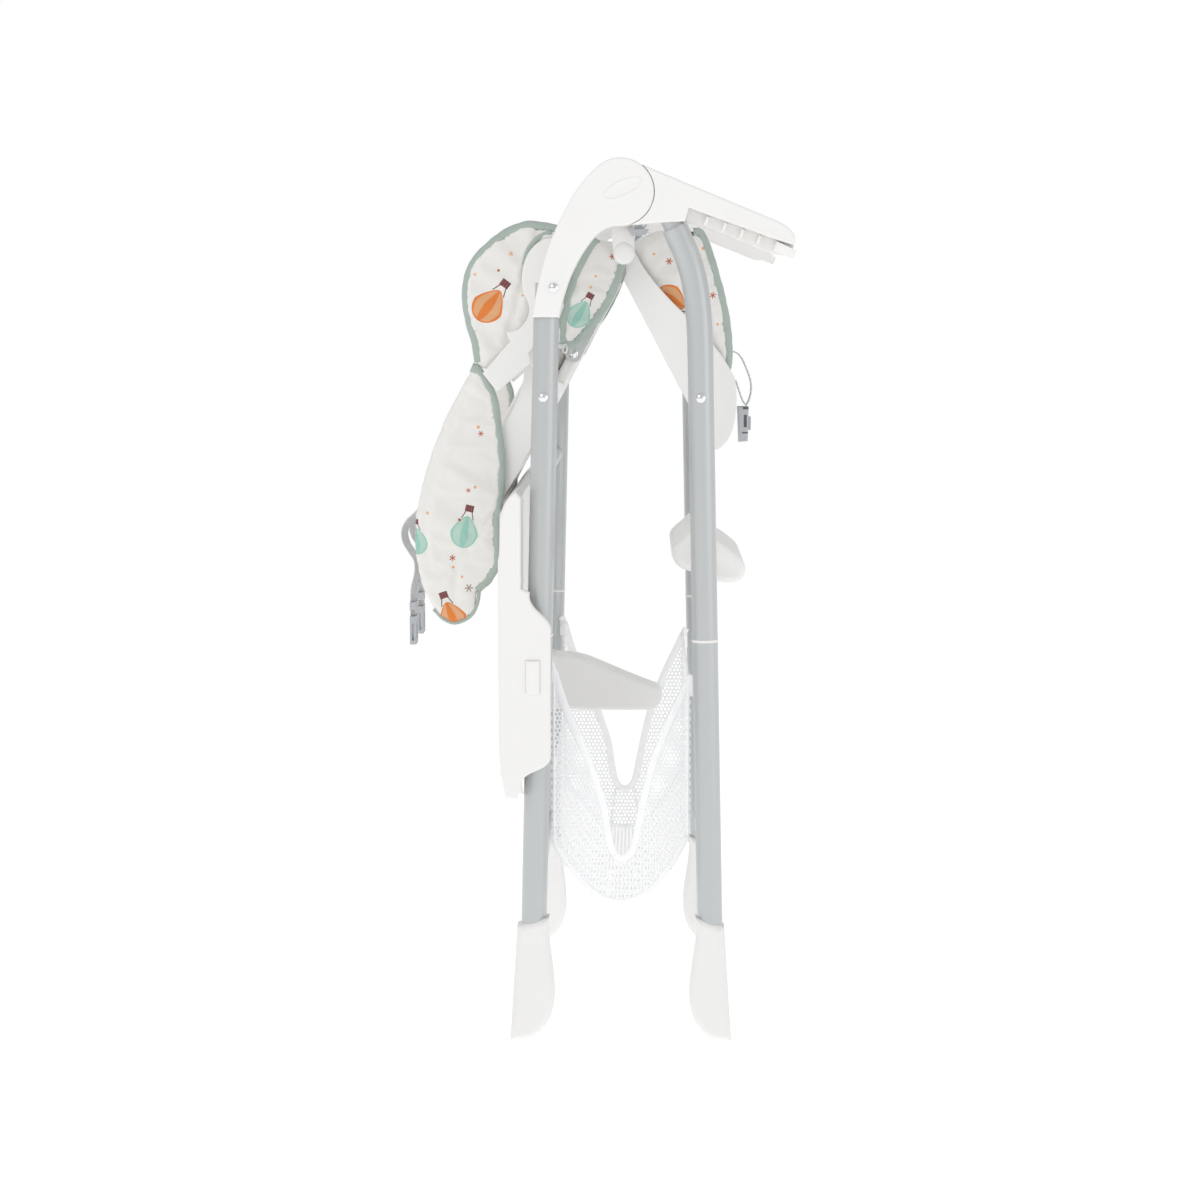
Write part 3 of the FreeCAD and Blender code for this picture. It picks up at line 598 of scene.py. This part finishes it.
def binding(name, line, y, body, half_width=6.4, half_thickness=5.8, inset=4.6, outward=1):
    """Tape folded over a panel's edge, a little ruffled, with a row of stitches on each face. outward is 1 where the
    panel lies on the left of the line's run, seen from the object's right, and -1 where it lies on the right."""
    path = smooth_path([side(x, z, y) for x, z in line], TRIM_STEP)
    count = len(path)
    inner, inboard = [], []
    for i, point in enumerate(path):
        heading = (path[min(i + 1, count - 1)] - path[max(i - 1, 0)]).normalized()
        out = Y_AXIS.cross(heading).normalized() * outward
        ripple = noise.noise(point * 95) * 0.0007
        inner.append(point - out * (inset * MM + ripple))
        inboard.append(point - out * ((inset + half_width * 0.62) * MM))
    section = oval(half_thickness * MM, half_width * MM, 14)
    tape = sweep(name, inner, section, BINDING, scale=lambda t: 0.97 + 0.05 * noise.noise((t * 31, y, 0)))
    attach(tape, body)
    for label, sign in (("outer", -1), ("inner", 1)):
        lift = Vector((0, sign * half_thickness * MM * 0.8, 0))
        row = stitches("%s_%s_stitches" % (name, label), [p + lift for p in inboard], Vector((0, sign, 0)), THREAD,
                       body)


BACK_WING_Y = 200.0
SEAT_WING_Y = 176.0
# Hip lobes: the cover's side wings beside the child's hips.
HIP_LOBE = [(-93, 991), (-117, 993), (-140, 983), (-162, 968), (-180, 949), (-190, 925), (-192, 900), (-188, 872),
            (-181, 848), (-178, 823), (-168, 815), (-152, 818), (-132, 831), (-110, 845), (-88, 840), (-68, 839),
            (-54, 844), (-42, 855), (-25, 877), (-11, 901), (-1, 925), (6, 945), (18, 958), (6, 966), (-14, 972),
            (-38, 976), (-66, 984)]
HIP_EDGE = [(-62, 985), (-93, 992), (-117, 993), (-140, 984), (-162, 968), (-180, 949), (-190, 925), (-192, 900),
            (-188, 872), (-181, 848), (-177, 824)]
LEAF_EDGE = [(16, 958), (6, 945), (-1, 925), (-11, 901), (-25, 877), (-42, 855), (-54, 844), (-68, 841)]
LEAF_SEAM = flat_line((-70, 846), (-70, 873), (-65, 900), (-56, 926), (-44, 952), (-30, 974))
CHEEK_TRIM = [(-84, 981), (-97, 976), (-107, 967), (-113, 956), (-117, 942)]
HIP_SEAM = flat_line((-100, 985), (-106, 960), (-118, 925), (-127, 890), (-140, 850))
hip_print = printed_linen("hip_print", [(-160, 893, 19, 143, ORANGE), (-50, 882, 15, 150, MINT)],
                          [(-133, 955, 3.4, 10, PEACH), (-176, 930, 2.6, 20, PEACH), (-36, 915, 2.5, 0, PEACH),
                           (-10, 952, 4, 0, RUST)],
                          [(-148, 935, 1.6, RUST), (-119, 905, 1.6, PEACH), (-120, 862, 1.8, RUST),
                           (-30, 928, 1.5, PEACH)])
# Head lobes: the wings beside the child's head.
HEAD_LOBE = [(-177, 822), (-184, 815), (-196, 793), (-215, 757), (-234, 710), (-247, 664), (-253, 628), (-253, 590),
             (-246, 554), (-234, 526), (-219, 509), (-205, 503), (-190, 508), (-178, 522), (-175, 541), (-160, 556),
             (-149, 575), (-148, 600), (-148, 630), (-144, 667), (-142, 698), (-145, 728), (-151, 777), (-162, 804)]
HEAD_EDGE = [(-180, 822), (-172, 817), (-162, 803), (-151, 777), (-145, 728), (-142, 698), (-144, 667), (-148, 630),
             (-148, 600), (-149, 575), (-160, 556), (-174, 543)]
HEAD_HEM = [(-174, 545), (-176, 530), (-182, 516), (-192, 508), (-205, 504), (-218, 509), (-230, 521)]
HEAD_SEAMS = (flat_line((-186, 790), (-205, 755), (-225, 700), (-236, 655), (-240, 610), (-236, 570)),
              flat_line((-150, 640), (-178, 612), (-200, 575), (-206, 530)))
head_print = printed_linen("head_print", [(-191, 617, 17, 168, MINT), (-207, 512, 17, 200, ORANGE),
                                          (-250, 605, 14, 185, MINT)],
                           [(-171, 737, 3.6, 0, RUST), (-186, 668, 3.2, 15, RUST), (-206, 585, 4.2, 30, RUST),
                            (-186, 548, 5.5, 0, tone(176, 150, 142))],
                           [(-174, 745, 2.0, PEACH), (-178, 672, 1.8, PEACH), (-205, 574, 1.8, PEACH),
                            (-194, 562, 1.6, PEACH), (-197, 632, 1.8, RUST), (-236, 640, 2.0, PEACH)])
# Seat wings: the cover over the seat's sides.
SEAT_WING = [(14, 968), (34, 981), (62, 986), (88, 984), (101, 978), (110, 958), (121, 922), (130, 887), (134, 852),
             (134, 822), (128, 808), (112, 822), (92, 848), (72, 880), (48, 908), (26, 938)]
SEAT_EDGE = [(88, 986), (99, 984), (110, 960), (121, 924), (130, 888), (135, 852), (135, 822), (129, 802)]
SEAT_SEAM = flat_line((52, 980), (84, 930), (104, 880), (116, 830))
seat_print = printed_linen("seat_print", [(60, 900, 17, 60, ORANGE)],
                           [(58, 946, 4.6, 0, RUST), (66, 953, 2.2, 0, PEACH), (112, 905, 4.2, 20, RUST)],
                           [(100, 962, 2.0, PEACH), (118, 870, 1.7, PEACH), (84, 985, 9.0, PLUM),
                            (40, 955, 1.7, PEACH)])

for sign in (-1, 1):
    y = sign * BACK_WING_Y
    seat_y = sign * SEAT_WING_Y
    hip, _ = panel(mirrored_name("hip_wing", sign), HIP_LOBE, 11.5, lambda u, v, h: side(u, v, y + h),
                   hip_print, 6.0, 18, (LEAF_SEAM, HIP_SEAM), 5.0, 0.7, cap=0.0026)
    head, _ = panel(mirrored_name("head_wing", sign), HEAD_LOBE, 12.5, lambda u, v, h: side(u, v, y + h),
                    head_print, 6.0, 20, HEAD_SEAMS, 5.0, 0.45, cap=0.0028)
    for wing in (hip, head):
        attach(wing, "back")
    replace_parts(hip, mirrored_name("back_wing", sign))
    binding(mirrored_name("hip_binding", sign), HIP_EDGE, y, "back")
    binding(mirrored_name("leaf_binding", sign), LEAF_EDGE, y, "back", outward=-1)
    binding(mirrored_name("head_binding", sign), HEAD_EDGE, y, "back", outward=-1)
    for label, line, proud, across, up in (("head_hem", HEAD_HEM, 0.0, 0.0036, 0.0024),
                                           ("leaf_seam_tape", LEAF_SEAM, 3.4, 0.0018, 0.006),
                                           ("cheek_trim", CHEEK_TRIM, 5.4, 0.0014, 0.0036)):
        path = smooth_path([side(u, v, y + sign * proud) for u, v in line], TRIM_STEP)
        trim = sweep(mirrored_name(label, sign), path, oval(across, up, 12), BINDING)
        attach(trim, "back")
    wing, _ = panel(mirrored_name("seat_side_cover", sign), SEAT_WING, 12.5, lambda u, v, h: side(u, v, seat_y + h),
                    seat_print, 6.0, 18, (SEAT_SEAM,), 5.0, 0.5, cap=0.003)
    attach(wing, "seat")
    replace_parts(wing, mirrored_name("seat_wing", sign))
    binding(mirrored_name("seat_binding", sign), SEAT_EDGE, seat_y, "seat", outward=-1)

# ---------------------------------------------------------------- seat and back pads
LEAN = math.radians(28.5)   # of the folded back, off the vertical
BACK_FOOT = (3, 928)        # x, z where the folded back starts
BACK_PAD_OUT = 31.0         # from the back's own line to the middle of its pad


def back_place(u, v, h):
    """u across, v down the folded back from its foot, h out from the pad's middle, all in mm."""
    out = BACK_PAD_OUT + h
    return side(BACK_FOOT[0] - math.sin(LEAN) * v - math.cos(LEAN) * out,
                BACK_FOOT[1] - math.cos(LEAN) * v + math.sin(LEAN) * out, u)


BACK_PAD = [(-150, 46), (-75, 42), (0, 41), (75, 42), (150, 46), (156, 66), (156, 100), (157, 132), (166, 146),
            (182, 158), (185, 190), (185, 250), (185, 330), (183, 400), (176, 440), (148, 457), (75, 461), (0, 462),
            (-75, 461), (-148, 457), (-176, 440), (-183, 400), (-185, 330), (-185, 250), (-185, 190), (-182, 158),
            (-166, 146), (-157, 132), (-156, 100), (-155, 66)]
BACK_SEAMS = (flat_line((-180, 150), (180, 150)), flat_line((-150, 255), (150, 255)),
              flat_line((-150, 365), (150, 365)), flat_line((-150, 150), (-150, 440)),
              flat_line((150, 150), (150, 440)))
balloons, stars, dots = scattered(-150, 150, 60, 440, 3, 105)
back_print = printed_linen("back_print", balloons, stars, dots)
back_pad, back_rim = panel("back_pad", BACK_PAD, 27.0, back_place, back_print, 9.0, 20, BACK_SEAMS, 6.0, 0.6,
                           cap=0.006, pressure=4.0)
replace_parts(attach(back_pad, "back"), "back_cushion")


SEAT_REAR = Vector((36.5, 0, 919.5))
SEAT_RUN = Vector((79, 0, -151)).normalized()
SEAT_RISE = Vector((SEAT_RUN.z, 0, -SEAT_RUN.x)) * -1
SEAT_NORMAL = (0.886, 0, 0.464)


def seat_place(u, v, h):
    """u across, v from the seat's rear to its lip, h out from the pad's middle, all in mm."""
    middle = SEAT_REAR + SEAT_RUN * v + SEAT_RISE * h
    return side(middle.x, middle.z, u)


SEAT_PAD = [(-150, 2), (-75, 0), (0, 0), (75, 0), (150, 2), (163, 14), (164, 80), (164, 140), (156, 160), (75, 166),
            (0, 167), (-75, 166), (-156, 160), (-164, 140), (-164, 80), (-163, 14)]
SEAT_SEAMS = (flat_line((-160, 84), (160, 84)), flat_line((-105, 4), (-105, 162)), flat_line((105, 4), (105, 162)))
balloons, stars, dots = scattered(-160, 160, 0, 165, 8, 80)
seat_pad_print = printed_linen("seat_pad_print", balloons, stars, dots)
seat_pad, seat_rim = panel("seat_pad", SEAT_PAD, 22.0, seat_place, seat_pad_print, 8.5, 16, SEAT_SEAMS, 6.0, 0.6,
                           cap=0.005, pressure=3.5)
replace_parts(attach(seat_pad, "seat"), "seat_cushion")
for label, rim, body, normal in (("back", back_rim, "back", (math.cos(LEAN), 0, -math.sin(LEAN))),
                                 ("seat", seat_rim, "seat", SEAT_NORMAL)):
    cord = sweep(label + "_pad_piping", rim, oval(0.0024, 0.0024, 8), BINDING, Vector(normal), closed=True)
    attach(cord, body)

# ---------------------------------------------------------------- harness
STRAP = [(-204, 641), (-222, 641), (-240, 638), (-258, 631), (-271, 620), (-277, 606), (-275, 592), (-268, 580),
         (-261, 568), (-261, 552), (-265, 535), (-266, 516), (-266, 496)]
CROTCH = [(127, 810), (133, 822), (139, 832), (146, 833), (154, 825), (160, 812), (165, 798), (166.5, 786),
          (164.5, 774), (160, 765), (155, 772), (150.5, 784), (146.5, 797)]


STRAP_THICKNESS = 0.0018
STITCH_INSET = 2.4  # mm from a strap's edge
STITCH_LIFT = 0.0008


def strap(name, line, y, width, body, node=None, twist=0.0):
    """Webbing width mm wide along a line, turned by twist degrees, with a row of stitches by each edge of each face."""
    path = smooth_path([side(x, z, y) for x, z in line], 0.003)
    across = Vector((math.sin(math.radians(twist)), math.cos(math.radians(twist)), 0))
    ribbon = sweep(name, path, ribbon_section(width * MM, STRAP_THICKNESS), WEBBING, across)
    subdivide(ribbon)
    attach(ribbon, body)
    if node:
        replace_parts(ribbon, node)
    for edge in (-1, 1):
        for label, lift in (("face", 1), ("back", -1)):
            row = []
            for i, point in enumerate(path[1:-1], start=1):
                heading = (path[i + 1] - path[i - 1]).normalized()
                flat = (across - heading * across.dot(heading)).normalized()
                face = flat.cross(heading).normalized() * lift * STITCH_LIFT
                row.append(point + flat * edge * (width / 2 - STITCH_INSET) * MM + face)
            stitched = stitches("%s_%s_stitches_%s" % (name, label, "a" if edge < 0 else "b"), row, Vector((1, 0, 0)),
                                PALE_THREAD, body, 0.004, 0.0026, 0.00025)


strap("right_shoulder_webbing", STRAP, -60.0, 25.0, "back", "shoulder_straps", 15)
strap("left_shoulder_webbing", STRAP, 60.0, 25.0, "back", None, 15)
strap("crotch_webbing", CROTCH, 0.0, 22.0, "seat", "crotch_strap")

# ---------------------------------------------------------------- basket
# The basket's sides are cut in a V between the legs, and its floor is a sling from the rear hem to the front one.
NET_Y = 246.6
NET_X, NET_Z = -84, 160     # the lower rear corner of the side's grid of cells
FLOOR_HALF = 246
SIDE_NET = [(-82, 455), (-82, 236), (-71, 219), (-60, 203), (-34, 177), (0, 164), (34, 177), (62, 207), (74, 227),
            (84, 246), (84, 440), (72, 415), (60, 390), (50, 366), (40, 340), (32, 308), (25, 274), (20, 247),
            (14, 228), (2, 220.5), (-9, 229), (-15, 251), (-20, 284), (-29, 315), (-38, 340), (-48, 364), (-58, 384),
            (-70, 414)]
V_EDGE = [(-82, 455), (-70, 416), (-58, 385), (-48, 364), (-38, 340), (-29, 314), (-20, 285), (-15, 252), (-9, 230),
          (2, 221.5), (14, 229), (20, 248), (25, 275), (32, 307), (40, 339), (50, 365), (60, 390), (72, 415),
          (84, 440)]
FLOOR = [(-80.8, 330), (-80.8, 290), (-80.8, 250), (-80.5, 236), (-70, 219), (-59, 204.5), (-34, 177.5), (0, 164.6),
         (34, 177.5), (61, 208.5), (72, 226), (82.5, 246), (82.6, 300), (82.7, 380), (82.8, 440)]
FLOOR_CORNERS = FLOOR[2:12]
# A cell of the net, in pitches from its centre: the thread's outer line, which meets the next cells, and the hole.
CELL = [(-0.5, -0.5), (0, -0.56), (0.5, -0.5), (0.5, 0.5), (0, 0.44), (-0.5, 0.5)]
HOLE = [(-0.29, -0.25), (0, -0.34), (0.29, -0.25), (0.29, 0.27), (0, 0.34), (-0.29, 0.27)]


def net(name, columns, rows, place, keep=None):
    """Knitted net: cells in staggered rows, each a thread frame round a hole."""
    corners = len(CELL)
    vertices, faces = [], []
    for j in range(rows):
        shift = 0.5 if j % 2 else 0.0
        for i in range(columns):
            centre = (i + 0.5 + shift, j + 0.5)
            if keep and not keep(*centre):
                continue
            base = len(vertices)
            for du, dv in CELL + HOLE:
                vertices.append(place(centre[0] + du, centre[1] + dv))
            for k in range(corners):
                n = (k + 1) % corners
                faces.append((base + k, base + n, base + corners + n, base + corners + k))
    return make(name, vertices, faces, NET)


def basket_piece(obj):
    """A piece of the basket, which lies between the two leg frames, with its placement baked into its mesh."""
    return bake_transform(obj)


PITCH = 5.0
net_loop = [Vector(p) for p in SIDE_NET]


def side_point(u, v):
    """x, z in mm of a place in the side net, counted in cells."""
    return NET_X + u * PITCH, NET_Z + v * PITCH


def kept(u, v):
    return within(Vector(side_point(u, v)), net_loop)


for sign in (-1, 1):
    def on_side(u, v):
        x, z = side_point(u, v)
        sag = 0.7 * noise.noise((x * 0.02, z * 0.02, sign))
        return side(x, z, sign * (NET_Y + sag))

    basket_piece(net(mirrored_name("basket_side_net", sign), 34, 60, on_side, kept))
    edge = smooth_path([side(x, z, sign * NET_Y) for x, z in V_EDGE], 0.005)
    edge = [p - Vector((0, 0, 0.0015)) for p in edge]
    basket_piece(sweep(mirrored_name("basket_top_tape", sign), edge, oval(0.0013, 0.0048, 12), TAPE))
    hem = smooth_path([side(x, z + 1.5, sign * NET_Y) for x, z in FLOOR_CORNERS], 0.005)
    basket_piece(sweep(mirrored_name("basket_floor_seam", sign), hem, oval(0.0012, 0.003, 10), TAPE))
    for label, line in (("rear", [(-9, 224), (-13, 200), (-16, 172)]), ("front", [(14, 224), (19, 200), (23, 174)])):
        dart = smooth_path([side(x, z, sign * NET_Y) for x, z in line], 0.005)
        basket_piece(sweep(mirrored_name("basket_%s_dart" % label, sign), dart, oval(0.0012, 0.0014, 8), TAPE))
    for label, x in (("rear", -81), ("front", 83)):
        upright = [side(x, z, sign * (NET_Y - 0.5)) for z in range(240, 446 if x > 0 else 458, 6)]
        basket_piece(sweep(mirrored_name("basket_%s_seam" % label, sign), upright, oval(0.002, 0.0016, 8), TAPE))

floor_path = smooth_path([side(x, z, 0) for x, z in FLOOR], PITCH * MM)
lengths = [0.0]
for a, b in zip(floor_path, floor_path[1:]):
    lengths.append(lengths[-1] + (b - a).length)


def on_floor(u, v):
    """u cells across the basket, v cells along its sling from the rear hem to the front one."""
    distance = min(max(v * PITCH * MM, 0.0), lengths[-1] - 1e-6)
    i = max(k for k in range(len(lengths) - 1) if lengths[k] <= distance)
    t = (distance - lengths[i]) / (lengths[i + 1] - lengths[i])
    point = floor_path[i].lerp(floor_path[i + 1], t)
    y = min(max(-FLOOR_HALF + u * PITCH, -FLOOR_HALF), FLOOR_HALF)
    return Vector((point.x, y * MM, point.z))


basket_net = net("basket_sling_net", 99, int(lengths[-1] / (PITCH * MM)), on_floor)
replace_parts(basket_piece(basket_net), "basket")
for label, x, z in (("rear", -80.8, 329), ("front", 82.8, 439)):
    bar = [side(x, z, y) for y in range(-FLOOR_HALF, FLOOR_HALF + 1, 12)]
    basket_piece(sweep("basket_%s_hem" % label, bar, oval(0.0012, 0.0055, 12), TAPE, Vector((1, 0, 0))))


# ---------------------------------------------------------------- small trim
def leg_point(low, high, z, y):
    """The centre of a leg at height z: low and high are side points on its straight run."""
    t = (z - low[1]) / (high[1] - low[1])
    return side(low[0] + (high[0] - low[0]) * t, z, y)


REAR_LEG = ((-106, 95), (-88.5, 878))
FRONT_LEG = ((110.5, 95), (96.5, 790))
LEG_Y = 265
LEG_RADIUS = 0.0155
COLLAR = ((-0.0016, 0.0001), (-0.0012, 0.0006), (0.0, 0.0008), (0.0012, 0.0006), (0.0016, 0.0001))  # along, proud
COLLAR_PIECES = 48
DOME = (1.0, 0.96, 0.9, 0.8, 0.65, 0.45, 0.2)  # a cap's rings, as shares of its radius
CAP_PIECES = 32


def collar(name, leg, z, y, body):
    """The plastic ring that closes the joint between a leg's two tubes."""
    lean = (leg_point(*leg, z + 50, y) - leg_point(*leg, z, y)).normalized()
    middle = leg_point(*leg, z, y)
    across = Y_AXIS.cross(lean)
    ring = []
    for k in range(COLLAR_PIECES):
        angle = 2 * math.pi * k / COLLAR_PIECES
        ring.append(middle + (across * math.cos(angle) + Y_AXIS * math.sin(angle)) * LEG_RADIUS)
    vertices, faces = [], []
    for point in ring:
        out = (point - middle).normalized()
        for along, proud in COLLAR:
            vertices.append(point + out * proud + lean * along)
    lines = len(COLLAR)
    for k in range(COLLAR_PIECES):
        n = (k + 1) % COLLAR_PIECES
        for j in range(lines - 1):
            faces.append((k * lines + j, k * lines + j + 1, n * lines + j + 1, n * lines + j))
    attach(make(name, vertices, faces, WHITE), body)


def cap(name, centre, radius, depth, sign, body):
    """A domed plastic cap on a tube's end: its face turned to sign along Y."""
    vertices, faces = [], []
    profile = [(radius * share, depth * (1 - share ** 4)) for share in DOME]
    count = CAP_PIECES
    for around, proud in profile:
        for k in range(count):
            angle = 2 * math.pi * k / count
            vertices.append(centre + Vector((around * math.cos(angle), sign * proud, around * math.sin(angle))))
    for j in range(len(profile) - 1):
        for k in range(count):
            n = (k + 1) % count
            faces.append((j * count + k, j * count + n, (j + 1) * count + n, (j + 1) * count + k))
    faces.append(tuple(range(count)))
    faces.append(tuple(range((len(profile) - 1) * count, len(profile) * count)))
    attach(make(name, vertices, faces, WHITE), body)


def ellipse(x, z, y, half_long, half_short, turn, pieces):
    """A closed line in side view round x, z: its long axis is turned by degrees up from the front."""
    slope = math.radians(turn)
    line = []
    for k in range(pieces):
        along = half_long * math.cos(2 * math.pi * k / pieces)
        over = half_short * math.sin(2 * math.pi * k / pieces)
        line.append(side(x + along * math.cos(slope) - over * math.sin(slope),
                         z + along * math.sin(slope) + over * math.cos(slope), y))
    return line


for sign in (-1, 1):
    collar(mirrored_name("rear_leg_collar", sign), REAR_LEG, 497.6, sign * LEG_Y, "rear_frame")
    collar(mirrored_name("front_leg_collar", sign), FRONT_LEG, 490.6, sign * LEG_Y, "front_frame")
    cap(mirrored_name("hip_tube_cap", sign), side(4, 955, sign * 233.6), 0.0129, 0.0027, sign, "swing_carrier")
    for label, x, z, body in (("rear", -83, 450, "rear_frame"), ("front", 85, 434, "front_frame")):
        tab = [side(x, z - 14, sign * 246.9), side(x, z - 4, sign * 247.6), side(x, z + 6, sign * 248.6),
               side(x - 3 * (1 if x < 0 else -1), z + 12, sign * 249.0)]
        band = sweep(mirrored_name("basket_%s_tab" % label, sign), smooth_path(tab, 0.002), oval(0.0006, 0.0045, 10),
                     TAPE)
        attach(band, body)
    ring = ellipse(3, 1030.5, sign * 290.0, 24, 8.5, 24.6, 64)
    emboss = sweep(mirrored_name("blank_oval", sign), ring, oval(0.0008, 0.001, 10), WHITE, closed=True)
    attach(emboss, "rear_frame")
    pull = ellipse(-68, 841, sign * 208.5, 5.5, 2.6, 90, 20)
    link = sweep(mirrored_name("zip_pull", sign), pull, oval(0.0007, 0.0009, 8), CHROME, closed=True)
    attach(link, "back")

# The crotch buckle's ends: the strap's bar, the slot where a prong of each shoulder strap clicks in, and the lip.
# painted shade: each end is a shallow recess coloured dark, standing in for the shade inside the buckle's openings
SLOT_SHADE = moulded("slot_shadow", tone(92, 94, 97), 0.6, 900.0)
BUCKLE_Y = 20.12
SLOT_DEPTH = 0.0003
for sign in (-1, 1):
    for label, x_low, x_high, z_low, z_high in (("bar", 155.5, 162.5, 760, 763), ("prong", 156.5, 160.5, 737, 753),
                                                ("lip", 154.5, 162.0, 729, 731)):
        outline = ((x_low, z_low), (x_high, z_low), (x_high, z_high), (x_low, z_high))
        corners = [side(x, z, sign * BUCKLE_Y) for x, z in outline]
        inner = [c - Vector((0, sign * SLOT_DEPTH, 0)) for c in corners]
        walls = [(k, (k + 1) % 4, (k + 1) % 4 + 4, k + 4) for k in range(4)]
        slot = make(mirrored_name("buckle_%s_slot" % label, sign), corners + inner,
                    [(0, 1, 2, 3), (7, 6, 5, 4)] + walls, SLOT_SHADE, smooth=False)
        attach(slot, "seat")

# ---------------------------------------------------------------- floor, light, camera
ground = Shader("studio_floor", 0.9)
at = ground.coords()
ground.shader.inputs["Emission Color"].default_value = (1, 1, 1, 1)
ground.shader.inputs["Emission Strength"].default_value = 0.42
ground.finish(ground.mix(ground.noise(at, 3.0, 3.0), (0.9, 0.9, 0.9, 1), (0.92, 0.92, 0.92, 1)))
FLOOR_REACH, FLOOR_Z = 30, -0.0005
floor = make("floor", [(x * FLOOR_REACH, y * FLOOR_REACH, FLOOR_Z) for x, y in ((-1, -1), (1, -1), (1, 1), (-1, 1))],
             [(0, 1, 2, 3)], ground.material, smooth=False)

# The camera sees a white backdrop, and the object is lit by a softer one.
world = bpy.data.worlds.new("studio")
world.use_nodes = True
scene.world = world
tree = world.node_tree
backdrop = tree.nodes["Background"]
backdrop.inputs[0].default_value = (1, 1, 1, 1)
backdrop.inputs[1].default_value = 1.0
soft = tree.nodes.new("ShaderNodeBackground")
soft.inputs[0].default_value = (0.985, 0.992, 1.0, 1)
soft.inputs[1].default_value = 0.64
rays = tree.nodes.new("ShaderNodeLightPath")
choose = tree.nodes.new("ShaderNodeMixShader")
tree.links.new(rays.outputs["Is Camera Ray"], choose.inputs[0])
tree.links.new(soft.outputs[0], choose.inputs[1])
tree.links.new(backdrop.outputs[0], choose.inputs[2])
tree.links.new(choose.outputs[0], tree.nodes["World Output"].inputs[0])


def lamp(name, place, aim, size, power, warmth=(1, 1, 1)):
    """A soft square light at place, turned to aim."""
    light = bpy.data.lights.new(name, "AREA")
    light.energy = power
    light.size = size
    light.color = warmth
    obj = bpy.data.objects.new(name, light)
    obj.location = place
    obj.rotation_euler = (Vector(aim) - Vector(place)).to_track_quat("-Z", "Y").to_euler()
    scene.collection.objects.link(obj)


lamp("key", (-1.6, -2.6, 2.6), (0, 0, 0.6), 1.6, 17, (1.0, 0.99, 0.97))
lamp("fill", (2.6, -1.8, 1.2), (0, 0, 0.6), 1.8, 8)
lamp("back", (-0.6, 2.6, 2.2), (0, 0, 0.7), 1.6, 8)

camera = bpy.data.cameras.new("camera")
camera.lens = 85.0
camera.sensor_width = 36.0
camera.clip_end = 100
eye = bpy.data.objects.new("camera", camera)
eye.location = side(26.95, 899.6, -3665)
eye.rotation_euler = (math.radians(83.955), 0, math.radians(0.865))
scene.collection.objects.link(eye)
scene.camera = eye
scene.view_settings.view_transform = "Standard"
scene.view_settings.look = "None"
